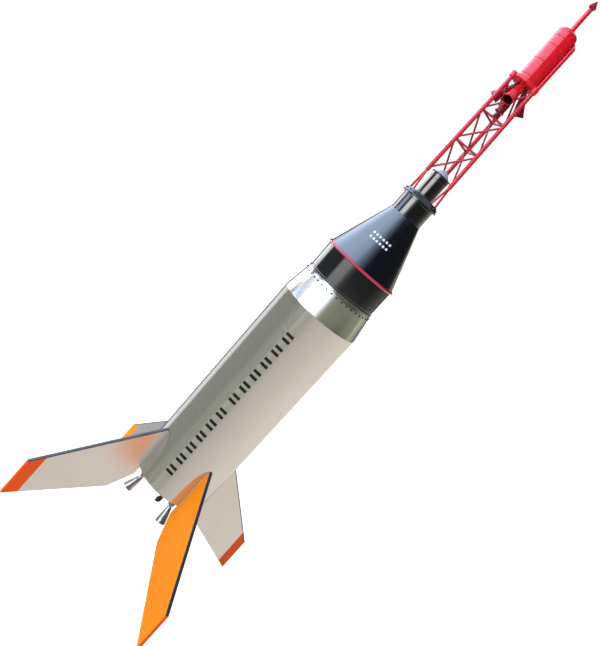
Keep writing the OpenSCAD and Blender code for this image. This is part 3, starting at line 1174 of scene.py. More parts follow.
@dataclass
class Tail(Assembly):
    """The motor mount's visible end and the four canted nozzles.

    Attributes:
        seat_radius: Distance of a nozzle's seat from the axis, in millimetres.
        cant: Outward lean of a nozzle, in degrees.
        length: A nozzle's length from its seat.
        head: Radius of the domed head.
        head_drop: How far below the seat the dome starts.
        throat: Radius at the throat.
        throat_share: How far below the dome's start the throat is, as a share of its radius.
        mouth: Radius at the mouth.
        flare: Power of the bell's curve, where 1 is a straight cone.
        rings: Rings along the bell.
        rim: Thickness of the bell's rim.
    """

    seat_radius: float = 17.4
    cant: float = 15.4
    length: float = 21.0
    head: float = 2.5
    head_drop: float = 6.2
    throat: float = 1.3
    throat_share: float = 0.92
    mouth: float = 3.65
    flare: float = 0.8
    rings: int = 10
    rim: float = 0.45

    def build(self) -> None:
        """Makes the nozzles and dresses the mount."""
        for place, azimuth in CORNERS.items():
            self.nozzle(place, azimuth)
        self.dress(KRAFT, "motor_tube", "thrust_ring", "hook_band")
        self.dress(PLYWOOD, "middle_ring", "top_ring")
        self.dress(SPRING_STEEL, "hook_anchor")
        self.dress(BASE_BLACK, "base_ring")

    def profile(self) -> list[Point]:
        """Gives a nozzle's section: seat, domed head, throat, bell and the bell's inside.

        Returns:
            Its points as (radius, height) from the seat, in millimetres.
        """
        neck = -self.head_drop
        turns = [math.radians(angle) for angle in range(0, 55, 9)]
        dome = [(self.head * math.cos(a), neck - self.head * math.sin(a)) for a in turns]
        start = neck - self.head * self.throat_share
        bell, grow = self.length + start, self.mouth - self.throat
        outer = [
            (self.throat + grow * (ring / self.rings) ** self.flare, start - bell * ring / self.rings)
            for ring in range(self.rings + 1)
        ]
        inner = [(max(r - self.rim, 0.2), z) for r, z in reversed(outer[1:])]
        return [(0.0, 0.0), (self.head, 0.0), *dome, *outer, *inner, (0.0, start - 0.6)]

    def nozzle(self, place: str, azimuth: float) -> None:
        """Turns one nozzle and leans it out under the base ring.

        Args:
            place: The corner's name.
            azimuth: The way it leans, in degrees from the front.
        """
        bell = Bench.turned(f"tail_nozzle_{place}", self.profile(), steps=48, soft=0.08)
        seat = around(self.seat_radius, azimuth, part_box("base_ring")[0].z / MM)
        Bench.lean(bell, seat, azimuth, self.cant)
        Bench.cut(bell, seat, Vector((0, 0, 1)), clear=True)
        self.keep(bell, NOZZLE_METAL, "nozzle_grey", f"nozzle_{place}")


@dataclass
class Hook(Assembly):
    """The moving lower half of the motor clip."""

    def build(self) -> None:
        """Dresses the hook."""
        self.dress(SPRING_STEEL, "engine_hook")


@dataclass
class Recovery(Assembly):
    """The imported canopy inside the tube, and what ties to it.

    Attributes:
        margin: How far inside its space the pack starts, in millimetres.
        shoulder: Height over which its ends draw in.
        end_share: Radius of its ends, as a share of the whole.
        voxel: Size of the remeshed cells.
        swell: The furthest that a point may move as the pack swells.
        pressure: Pressure inside it in the cloth simulation.
        frames: Steps of the cloth simulation.
        pleats: How many folds are round it.
        curl: How far the folds curl from the middle to the outside, in radians.
        climb: How far they turn along it, in radians per metre.
        pleat_depth: Depth of a fold, in millimetres.
    """

    margin: float = 0.9
    shoulder: float = 6.0
    end_share: float = 0.72
    voxel: float = 2.2
    swell: float = 1.2
    pressure: float = 4.0
    frames: int = 12
    pleats: int = 7
    curl: float = 5.0
    climb: float = 90.0
    pleat_depth: float = 1.4

    def build(self) -> None:
        """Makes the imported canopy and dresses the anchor."""
        self.dress(KRAFT, "shock_cord_mount")
        pack = self.pack()
        self.keep(pack, CANOPY_CLOTH, "canopy", "parachute_pack")

    def pack(self) -> Piece:
        """Rolls the canopy: a pleated bundle, swollen by cloth simulation.

        Returns:
            The bundle.
        """
        low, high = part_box("parachute_pack")
        radius = (high.x - low.x) / 2 / MM - self.margin
        bottom, top = low.z / MM + self.margin, high.z / MM - self.margin
        end = radius * self.end_share
        profile = [
            (0.0, bottom), (end, bottom), (radius, bottom + self.shoulder),
            (radius, top - self.shoulder), (end, top), (0.0, top),
        ]
        bundle = Bench.turned("packed_canopy", profile, steps=48, soft=0.0)
        self.swell_up(bundle)
        self.pleat(bundle, radius * MM)
        bpy.ops.object.shade_smooth()
        return bundle

    def swell_up(self, bundle: Piece) -> None:
        """Remeshes the bundle and lets cloth pressure fill it, as far as it may swell.

        Args:
            bundle: The bundle.
        """
        remesh = bundle.modifiers.new("cells", "REMESH")
        remesh.mode = "VOXEL"
        remesh.voxel_size = self.voxel * MM
        bpy.ops.object.modifier_apply(modifier=remesh.name)
        before = [vertex.co.copy() for vertex in bundle.data.vertices]
        cloth = bundle.modifiers.new("fill", "CLOTH")
        cloth.settings.use_pressure = True
        cloth.settings.uniform_pressure_force = self.pressure
        cloth.settings.effector_weights.gravity = 0.0
        scene = bpy.context.scene
        for number in range(1, self.frames + 1):
            scene.frame_set(number)
        bpy.ops.object.modifier_apply(modifier=cloth.name)
        scene.frame_set(1)
        for vertex, start in zip(bundle.data.vertices, before):
            moved = vertex.co - start
            if moved.length > self.swell * MM:
                vertex.co = start + moved.normalized() * (self.swell * MM)

    def pleat(self, bundle: Piece, radius: float) -> None:
        """Presses soft spiral folds into the bundle, but not into its very middle.

        Args:
            bundle: The bundle.
            radius: Its radius, in metres.
        """
        for vertex in bundle.data.vertices:
            angle = math.atan2(vertex.co.y, vertex.co.x)
            out = math.hypot(vertex.co.x, vertex.co.y) / radius
            wave = math.sin(self.pleats * angle + self.curl * out + self.climb * vertex.co.z)
            depth = (0.5 + 0.5 * wave) * self.pleat_depth * MM * min(out, 1.0)
            if out > 0.05:
                vertex.co.x *= 1 - depth / (out * radius)
                vertex.co.y *= 1 - depth / (out * radius)


@dataclass
class Adapter(Assembly):
    """The coupler and the polished tapered shell with its row of dots.

    Attributes:
        dots: How many dots are round it.
        dot_radius: Radius of a dot, in millimetres.
        dot_drop: How far below the upper edge the dots are.
        dot_flat: How far a dot stands out, as a share of its radius.
        dot_stand: How far its middle is from the wall's upper edge.
        draw_in: How much smaller the upper edge's radius is than the lower one's.
        taper_steps: Rings along the taper.
        lip: Height of the straight upper edge.
        foot: Height of the straight lower edge.
        seat: Width of the ring that sits on the tube.
        wall: The shell's wall.
    """

    dots: int = 40
    dot_radius: float = 0.65
    dot_drop: float = 2.9
    dot_flat: float = 0.45
    dot_stand: float = 0.27
    draw_in: float = 3.05
    taper_steps: int = 8
    lip: float = 1.4
    foot: float = 0.15
    seat: float = 7.0
    wall: float = 1.3

    def build(self) -> None:
        """Makes the shell and the dots, and dresses the parts inside."""
        wide, bottom, top = round_size("adapter")
        narrow = wide - self.draw_in
        start, rise = bottom + self.foot, top - self.lip - bottom - self.foot
        shares = [step / self.taper_steps for step in range(self.taper_steps + 1)]
        taper = [(wide + (narrow - wide) * share, start + rise * share) for share in shares]
        inside = [(radius - self.wall, z) for radius, z in reversed(taper)]
        profile = [
            (wide - self.seat, bottom), (wide - 0.1, bottom), *taper, (narrow, top),
            (narrow - self.wall, top), *inside[:-1], (wide - self.seat, bottom + 1.2),
        ]
        shell = Bench.turned("adapter_shell", profile, steps=192, closed=True, soft=0.05)
        self.keep(shell, POLISHED, "adapter_metal", "adapter")
        self.dot_row(narrow, top - self.dot_drop)
        self.dress(KRAFT, "coupler_tube")
        self.dress(PLYWOOD, "coupler_bulkhead")
        self.dress(SPRING_STEEL, "screw_eye")

    def dot_row(self, radius: float, height: float) -> None:
        """Models one round head and copies it round the shell.

        Args:
            radius: Radius of the shell's upper edge, in millimetres.
            height: Height of the row.
        """
        heads = []
        Bench.deselect()
        bpy.ops.mesh.primitive_uv_sphere_add(segments=14, ring_count=8, radius=self.dot_radius * MM)
        head = Bench.named("dot_head")
        head.scale = (1.0, self.dot_flat, 1.0)
        bpy.ops.object.transform_apply(scale=True)
        bpy.ops.object.shade_smooth()
        for index in range(self.dots):
            copy = head.copy()
            copy.data = head.data.copy()
            bpy.context.collection.objects.link(copy)
            azimuth = (index + 0.5) * 360 / self.dots
            seat = around(radius + self.dot_stand, azimuth, height)
            Bench.lean(copy, seat, azimuth, 0.0)
            heads.append(copy)
        bpy.data.objects.remove(head)
        row = Bench.joined("adapter_dots", heads)
        self.keep(row, DARK_DOT, "rivet_dark", "adapter_rivets")


@dataclass
class Capsule(Assembly):
    """The black capsule with its clamp ring, neck, top flange and antenna canister.

    Attributes:
        marks: White dashes in each of the two rows.
        mark_rows: Heights of the rows' middles, in millimetres.
        dash_width: Width of a dash.
        dash_height: Height of a dash.
        dash_pitch: From one dash to the next.
        mark_azimuth: Azimuth of the rows' middle.
        film: Half the thickness of the dashes.
        rings: Rings along the cone.
        cone_wall: The cone's wall.
        studs: Small studs round the top flange.
    """

    marks: int = 6
    mark_rows: tuple[float, float] = (271.0, 267.9)
    dash_width: float = 1.35
    dash_height: float = 1.3
    dash_pitch: float = 2.45
    mark_azimuth: float = 4.3
    film: float = 0.05
    rings: int = 6
    cone_wall: float = 1.2
    studs: int = 18

    def build(self) -> None:
        """Makes every part of the capsule."""
        self.skirt()
        self.ring()
        self.cone()
        self.neck()
        self.flange()
        self.canister()

    def skirt(self) -> None:
        """Turns the straight skirt, with a shallow step at its foot."""
        radius, bottom, top = round_size("capsule_skirt")
        profile = [
            (radius, bottom), (radius, bottom + 1.0), (radius - 0.12, bottom + 1.15),
            (radius - 0.12, bottom + 1.45), (radius, bottom + 1.6), (radius, top),
            (radius - 1, top), (radius - 1, bottom),
        ]
        skirt = Bench.turned("capsule_skirt_shell", profile, steps=160, closed=True, soft=0.06)
        self.keep(skirt, CAPSULE_BLACK, "capsule_black", "capsule_skirt")

    def ring(self) -> None:
        """Turns the clamp ring with a blunt pointed edge."""
        radius, bottom, top = round_size("clamp_ring")
        middle = (bottom + top) / 2
        profile = [
            (radius - 2.4, bottom), (radius - 0.7, bottom), (radius - 0.2, bottom + 0.3),
            (radius, middle - 0.2), (radius, middle + 0.2), (radius - 0.2, top - 0.3),
            (radius - 0.7, top), (radius - 2.4, top),
        ]
        ring = Bench.turned("clamp_ring_band", profile, steps=160, closed=True, soft=0.1)
        self.keep(ring, RING_CRIMSON, "ring_red", "clamp_ring")

    def cone_radius(self, height: float) -> float:
        """Gives the cone's outer radius at a height.

        Args:
            height: The height, in millimetres.

        Returns:
            The radius, in millimetres.
        """
        wide, bottom, top = round_size("capsule_cone")
        narrow = round_size("capsule_neck")[0] + 0.15
        share = (height - bottom) / (top - bottom)
        return wide + (narrow - wide) * share

    def cone(self) -> None:
        """Turns the cone and lays the two rows of white dashes on it."""
        _, bottom, top = round_size("capsule_cone")
        rings = [bottom, bottom + 0.6]
        rings += [bottom + (top - bottom) * ring / self.rings for ring in range(1, self.rings + 1)]
        outer = [(self.cone_radius(z), z) for z in rings]
        inner = [(radius - self.cone_wall, z) for radius, z in reversed(outer)]
        cone = Bench.turned("capsule_cone_shell", [*outer, *inner], steps=160, closed=True, soft=0.1)
        self.keep(cone, CAPSULE_BLACK, "capsule_black", "capsule_cone")
        dashes = []
        for row in self.mark_rows:
            low, high = row - self.dash_height / 2, row + self.dash_height / 2
            foot, head = (self.cone_radius(low), low), (self.cone_radius(high), high)
            radius = self.cone_radius(row)
            sweep = math.degrees(self.dash_width / radius)
            for index in range(self.marks):
                offset = (index - (self.marks - 1) / 2) * self.dash_pitch
                azimuth = self.mark_azimuth + math.degrees(offset / radius)
                dashes.append(Bench.patch(foot, head, self.film, sweep, azimuth))
        rows = Bench.joined("capsule_dashes", dashes)
        self.keep(rows, MARK_WHITE, "cap_grey")

    def neck(self) -> None:
        """Turns the neck, with a fine band at each end."""
        radius, bottom, top = round_size("capsule_neck")
        profile = [
            (radius, bottom), (radius, bottom + 1.1), (radius - 0.15, bottom + 1.2),
            (radius - 0.15, top - 1.4), (radius, top - 1.3), (radius, top),
            (radius - 1.2, top), (radius - 1.2, bottom),
        ]
        neck = Bench.turned("capsule_neck_shell", profile, steps=128, closed=True, soft=0.06)
        self.keep(neck, CAPSULE_BLACK, "capsule_black", "capsule_neck")

    def flange(self) -> None:
        """Turns the shallow top flange and sets small studs round it."""
        radius, bottom, top = round_size("neck_flange")
        profile = [
            (0.0, top - 1.2), (9.0, top - 1.2), (9.0, bottom), (radius, bottom),
            (radius, bottom + 0.5), (radius - 0.5, bottom + 0.9), (radius - 1.7, top - 0.15),
            (radius - 1.9, top), (0.0, top),
        ]
        flange = Bench.turned("neck_flange_plate", profile, steps=128, soft=0.06)
        self.keep(flange, CAPSULE_BLACK, "capsule_black", "neck_flange")
        studs = []
        for index in range(self.studs):
            azimuth = index * 360 / self.studs
            foot = around(radius - 1.15, azimuth, bottom + 1.2)
            tip = around(radius - 0.75, azimuth, bottom + 2.35)
            studs.append(Bench.bar("stud", foot, tip, 0.75))
        ring = Bench.joined("flange_studs", studs)
        self.keep(ring, CAPSULE_BLACK, "capsule_black")

    def canister(self) -> None:
        """Turns the antenna canister, its thin lid and its pale cap."""
        radius, bottom, top = round_size("antenna_canister")
        profile = [
            (0.0, bottom), (radius, bottom), (radius, bottom + 1.0), (radius - 0.15, bottom + 1.1),
            (radius - 0.15, top - 3.0), (radius, top - 2.9), (radius, top), (0.0, top),
        ]
        drum = Bench.turned("antenna_drum", profile, steps=96, soft=0.06)
        self.keep(drum, CAPSULE_BLACK, "capsule_black", "antenna_canister")
        radius, bottom, top = round_size("canister_lid")
        profile = [
            (0.0, bottom), (radius - 0.5, bottom), (radius, bottom + 0.2), (radius, top - 0.2),
            (radius - 0.3, top), (0.0, top),
        ]
        lid = Bench.turned("antenna_lid", profile, steps=96, soft=0.05)
        self.keep(lid, CAPSULE_BLACK, "capsule_black", "canister_lid")
        radius, bottom, top = round_size("canister_cap")
        rise = top - bottom
        shape = [(1.0, 0.0), (0.98, 0.08), (0.80, 0.35), (0.58, 0.62), (0.38, 0.82), (0.18, 0.95)]
        profile = [(0.0, bottom)] + [(radius * r, bottom + rise * z) for r, z in shape]
        cap = Bench.turned("antenna_cap", [*profile, (0.0, top)], steps=72, soft=0.05)
        self.keep(cap, CAP_GREY, "cap_grey", "canister_cap")


@dataclass
class EscapeTower(Assembly):
    """The lattice tower: three legs on forked feet, braces and diagonals.

    Attributes:
        leg_azimuths: Side name to azimuth, before the tower's turn.
        turn: The tower's turn on the capsule, in degrees.
        leg_diameter: Diameter of a leg, in millimetres.
        brace_diameter: Diameter of a horizontal brace.
        diagonal_diameter: Diameter of a diagonal.
        foot_diameter: Diameter of a foot's strut.
        low_radius: Distance of the legs from the axis where they fork.
        high_radius: Distance of the legs from the axis at the plate.
        foot_radius: Distance of the feet from the axis.
        foot_spread: Half the distance between the two struts of a foot.
        foot_top: Height of the fork.
        brace_levels: Heights of the two brace triangles.
        inset: How far a diagonal's end is from a level.
        brace_inset: How far a brace's ends stay from the legs' centre lines.
        diagonal_inset: The same for a diagonal.
        bar_flare: How many times wider a brace's or a diagonal's ends are.
        foot_flare: The same for a foot's strut.
        fork_spread: Half the distance between a foot's struts at the fork.
    """

    leg_azimuths: dict[str, float] = field(
        default_factory=lambda: {"left": -60.0, "right": 60.0, "back": 180.0}
    )
    turn: float = 3.0
    leg_diameter: float = 2.6
    brace_diameter: float = 1.3
    diagonal_diameter: float = 1.2
    foot_diameter: float = 1.3
    low_radius: float = 10.0
    high_radius: float = 8.7
    foot_radius: float = 9.6
    foot_spread: float = 2.8
    foot_top: float = 317.5
    brace_levels: tuple[float, float] = (341.2, 362.5)
    inset: float = 1.2
    brace_inset: float = 1.14
    diagonal_inset: float = 0.9
    bar_flare: float = 1.35
    foot_flare: float = 1.2
    fork_spread: float = 0.4

    def leg_top(self) -> float:
        """Gives the height of the legs' upper ends, in millimetres."""
        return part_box("motor_plate")[0].z / MM

    def leg_point(self, index: int, height: float) -> Vector:
        """Gives a point on a leg's centre line.

        Args:
            index: Which leg, counted on round the tower.
            height: The point's height, in millimetres.

        Returns:
            The point in metres.
        """
        share = (height - self.foot_top) / (self.leg_top() - self.foot_top)
        radius = self.low_radius + (self.high_radius - self.low_radius) * share
        return around(radius, list(self.leg_azimuths.values())[index % 3] + self.turn, height)

    def build(self) -> None:
        """Makes the legs, the feet, the braces and the diagonals."""
        for index, side in enumerate(self.leg_azimuths):
            leg = Bench.bar(
                f"leg_{side}",
                self.leg_point(index, self.foot_top),
                self.leg_point(index, self.leg_top()),
                self.leg_diameter,
            )
            # The legs wear the darker red as painted shade.
            self.keep(leg, LEG_PAINTED_SHADE, "tower_red", f"tower_leg_{side}")
        self.feet()
        for name, level in zip(("brace_lower", "brace_upper"), self.brace_levels):
            self.ring_of_bars(name, level, level, self.brace_diameter, self.brace_inset)
        levels = [self.foot_top + 1, *self.brace_levels, self.leg_top()]
        names = ("diagonals_lower", "diagonals_middle", "diagonals_upper")
        for name, low, high in zip(names, levels, levels[1:]):
            low, high = low + self.inset, high - self.inset
            self.ring_of_bars(name, low, high, self.diagonal_diameter, self.diagonal_inset)

    def ring_of_bars(
        self, node: str, low: float, high: float, diameter: float, inset: float
    ) -> None:
        """Joins each leg to the next with a bar from one height to another.

        Args:
            node: The frame's node that the bars stand for.
            low: Height at the first leg, in millimetres.
            high: Height at the next leg.
            diameter: The bars' diameter.
            inset: How far the ends stay from the legs' centre lines.
        """
        bars = []
        for index in range(3):
            start, end = self.leg_point(index, low), self.leg_point(index + 1, high)
            along = (end - start).normalized() * (inset * MM)
            bars.append(Bench.bar("bar", start + along, end - along, diameter, self.bar_flare))
        piece = Bench.joined(f"{node}_bars", bars)
        # The bars wear the darker red as painted shade.
        self.keep(piece, BRACE_PAINTED_SHADE, "tower_red", node)

    def feet(self) -> None:
        """Makes the forked foot under each leg, as two struts."""
        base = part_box("neck_flange")[1].z / MM
        struts = []
        for azimuth in self.leg_azimuths.values():
            place = azimuth + self.turn
            apart = around(1, place + 90, 0)
            apex = around(self.low_radius, place, self.foot_top + 0.3)
            for side in (-1, 1):
                low = around(self.foot_radius, place, base) + apart * (side * self.foot_spread)
                high = apex + apart * (side * self.fork_spread)
                struts.append(Bench.bar("strut", low, high, self.foot_diameter, self.foot_flare))
        piece = Bench.joined("forked_feet", struts)
        # The feet wear the darker red as painted shade.
        self.keep(piece, LEG_PAINTED_SHADE, "tower_red", "tower_feet")


@dataclass
class EscapeMotor(Assembly):
    """The motor on the tower, its plate, nozzles, conduit and spike.

    Attributes:
        tower: The tower, whose legs the plate's lugs sit on.
        seams: Heights of the case's seams, in millimetres.
        groove: Depth and half height of a seam.
        corner: Radius of the end cap's round corner.
        crown: How far the cap's middle rises above the corner.
        plate_radius: Radius of the plate.
        lug_drop: How far a lug reaches below the plate.
        conduit_azimuth: Where the conduit runs.
        conduit_diameter: The conduit's diameter.
        cant: Outward lean of an escape nozzle, in degrees.
        length: Length of an escape nozzle.
        throat: Its radius at the seat.
        mouth: Its radius at the mouth.
        flare: Power of its bell's curve, where 1 is a straight cone.
        rings: Rings along its bell.
        bell_start: Where the bell starts, from the seat.
        bell_wall: The bell's wall.
        seat_radius: Distance of its seat from the axis.
    """

    tower: EscapeTower = field(default_factory=lambda: EscapeTower("nose"))
    seams: tuple[float, ...] = (391.2, 401.2, 411.0, 416.4)
    groove: float = 0.25
    corner: float = 2.4
    crown: float = 0.3
    plate_radius: float = 9.0
    lug_drop: float = 1.4
    conduit_azimuth: float = 92.0
    conduit_diameter: float = 2.8
    cant: float = 31.0
    length: float = 15.5
    throat: float = 1.4
    mouth: float = 3.4
    flare: float = 0.95
    rings: int = 8
    bell_start: float = 1.4
    bell_wall: float = 0.45
    seat_radius: float = 2.6

    def build(self) -> None:
        """Makes the plate, the case, the nozzles and the spike."""
        self.plate()
        self.case()
        self.conduit()
        for side, turn in (("front", 0.0), ("right", 120.0), ("left", -120.0)):
            self.nozzle(side, self.tower.turn + turn)
        self.jettison_motor()
        self.spike()

    def plate(self) -> None:
        """Turns the plate and sets a lug over each leg."""
        _, bottom, top = round_size("motor_plate")
        deck = bottom + self.lug_drop
        rim = self.plate_radius
        profile = [
            (0.0, deck), (rim - 0.6, deck), (rim, deck + 0.4), (rim, top - 0.3),
            (rim - 0.3, top), (0.0, top),
        ]
        parts = [Bench.turned("disc", profile, steps=96, soft=0.08)]
        for index in range(3):
            foot = self.tower.leg_point(index, bottom)
            head = Vector((foot.x, foot.y, top * MM))
            lug = Bench.bar("lug", foot, head, self.tower.leg_diameter + 1.4)
            parts.append(Bench.softened(lug, 0.4, 3))
        piece = Bench.joined("motor_plate_casting", parts)
        self.keep(piece, TOWER_RED, "tower_red", "motor_plate")

    def case(self) -> None:
        """Turns the case with its seams, and the dome."""
        low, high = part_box("escape_motor_case")
        radius, bottom, top = (high.x - low.x) / 2 / MM, low.z / MM, high.z / MM
        profile = [(0.0, bottom), (radius, bottom)]
        for seam in self.seams:
            profile += [
                (radius, seam - self.groove), (radius - self.groove, seam - self.groove * 0.4),
                (radius - self.groove, seam + self.groove * 0.4), (radius, seam + self.groove),
            ]
        profile += [(radius, top - 0.15), (radius - 0.2, top), (0.0, top)]
        case = Bench.turned("motor_case", profile, steps=112, soft=0.05)
        self.keep(case, TOWER_RED, "tower_red", "escape_motor_case")
        _, bottom, top = round_size("escape_motor_dome")
        flat = radius - self.corner
        rise = top - self.crown - bottom
        turns = [math.radians(angle) for angle in range(0, 91, 9)]
        arc = [(flat + self.corner * math.cos(a), bottom + rise * math.sin(a)) for a in turns]
        crown = [(flat / 2, top - self.crown / 4), (0.0, top)]
        dome = Bench.turned("motor_dome", [(0.0, bottom), *arc, *crown], steps=112, soft=0.0)
        self.keep(dome, TOWER_RED, "tower_red", "escape_motor_dome")

    def conduit(self) -> None:
        """Makes the cable fairing and cuts its upper end at a slope."""
        _, bottom, top = round_size("side_conduit")
        radius = round_size("escape_motor_case")[0]
        out = around(1 / MM, self.conduit_azimuth, 0)
        middle = radius + self.conduit_diameter / 2
        start = around(middle, self.conduit_azimuth, bottom)
        end = around(middle, self.conduit_azimuth, top + 0.6)
        tube = Bench.bar("case_conduit", start, end, self.conduit_diameter)
        edge = around(radius, self.conduit_azimuth, top - 0.1)
        Bench.cut(tube, edge, out + Vector((0, 0, 1)), clear=True)
        Bench.softened(tube, 0.12)
        self.keep(tube, TOWER_RED, "tower_red", "side_conduit")

    def nozzle(self, side: str, azimuth: float) -> None:
        """Turns one escape nozzle, hollow and lipped, and leans it out under the plate.

        Args:
            side: The side that it is on.
            azimuth: The way it leans, in degrees from the front.
        """
        start, grow = self.bell_start, self.mouth - self.throat
        outer = [
            (self.throat + grow * (ring / self.rings) ** self.flare,
             -start - (self.length - start) * ring / self.rings)
            for ring in range(self.rings + 1)
        ]
        inner = [(r - self.bell_wall, z) for r, z in reversed(outer[1:])]
        lip = [(self.mouth + 0.12, -self.length + 0.5), (self.mouth + 0.12, -self.length)]
        profile = [(0.0, 1.6), (1.5, 1.6), (1.5, -1.2), *outer[:-1], *lip, *inner, (0.0, -2.4)]
        bell = Bench.turned(f"escape_bell_{side}", profile, steps=64, soft=0.05)
        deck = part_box("motor_plate")[0].z / MM + self.lug_drop
        seat = around(self.seat_radius, azimuth, deck)
        Bench.lean(bell, seat, azimuth, self.cant)
        Bench.cut(bell, seat, Vector((0, 0, 1)), clear=True)
        # The side nozzles take the darker red as painted shade; the front one keeps the tower red.
        finish = TOWER_RED if side == "front" else DARK_RED_AND_SHADE
        self.shade_inside(bell, finish, seat, azimuth)
        self.keep(bell, finish, "tower_red", f"escape_nozzle_{side}")

    def shade_inside(self, bell: Piece, finish: Finish, seat: Vector, azimuth: float) -> None:
        """Paints shade on the faces that look at the bell's own axis: a near-black red inside the
        hollow bell.

        Args:
            bell: The bell.
            finish: The colour of its outside.
            seat: The bell's seat, in metres.
            azimuth: The way it leans, in degrees from the front.
        """
        lean = math.radians(self.cant)
        axis = around(math.sin(lean) / MM, azimuth, -math.cos(lean) / MM)
        bell.data.materials.append(finish.material())
        # The second material is painted shade, for the bell's inside.
        bell.data.materials.append(INSIDE_SHADE_RED.material())
        for face in bell.data.polygons:
            arm = face.center - seat
            along = arm.dot(axis)
            off = arm - axis * along
            inward = off.dot(face.normal) < 0 or off.length < self.mouth * 0.1 * MM
            if inward and along > self.length * 0.2 * MM:
                face.material_index = 1

    def jettison_motor(self) -> None:
        """Turns the small motor on the axis."""
        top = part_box("jettison_motor")[1].z / MM
        shape = [
            (0.0, 0.0), (0.8, 0.0), (0.8, -12.0), (1.6, -12.2), (2.5, -12.8), (2.5, -18.0),
            (3.0, -18.2), (3.0, -19.0), (1.3, -19.2), (1.5, -20.5), (2.4, -23.0), (1.9, -23.0),
            (0.9, -20.0), (0.0, -20.0),
        ]
        small = Bench.turned("jettison_pot", [(r, top + z) for r, z in shape], steps=48, soft=0.06)
        # The jettison motor's darker red is painted shade.
        self.keep(small, DARK_RED_AND_SHADE, "tower_red", "jettison_motor")

    def spike(self) -> None:
        """Turns the rod and its arrow tip."""
        radius, bottom, top = round_size("spike_rod")
        profile = [(0.0, bottom), (radius + 0.5, bottom), (radius, bottom + 0.6), (radius, top)]
        rod = Bench.turned("spike_shaft", [*profile, (0.0, top)], steps=40, soft=0.05)
        self.keep(rod, TOWER_RED, "tower_red", "spike_rod")
        wide, bottom, top = round_size("spike_tip")
        profile = [
            (0.0, bottom), (radius, bottom), (wide, bottom + 1.5), (wide, bottom + 1.9),
            (wide * 0.55, bottom + 3.5), (0.45, top - 0.35), (0.2, top - 0.08), (0.0, top),
        ]
        tip = Bench.turned("spike_arrow", profile, steps=48, soft=0.08)
        self.keep(tip, DARK_RED_AND_SHADE, "tower_red", "spike_tip")


# ------------------------------------------------------------------------------------- studio


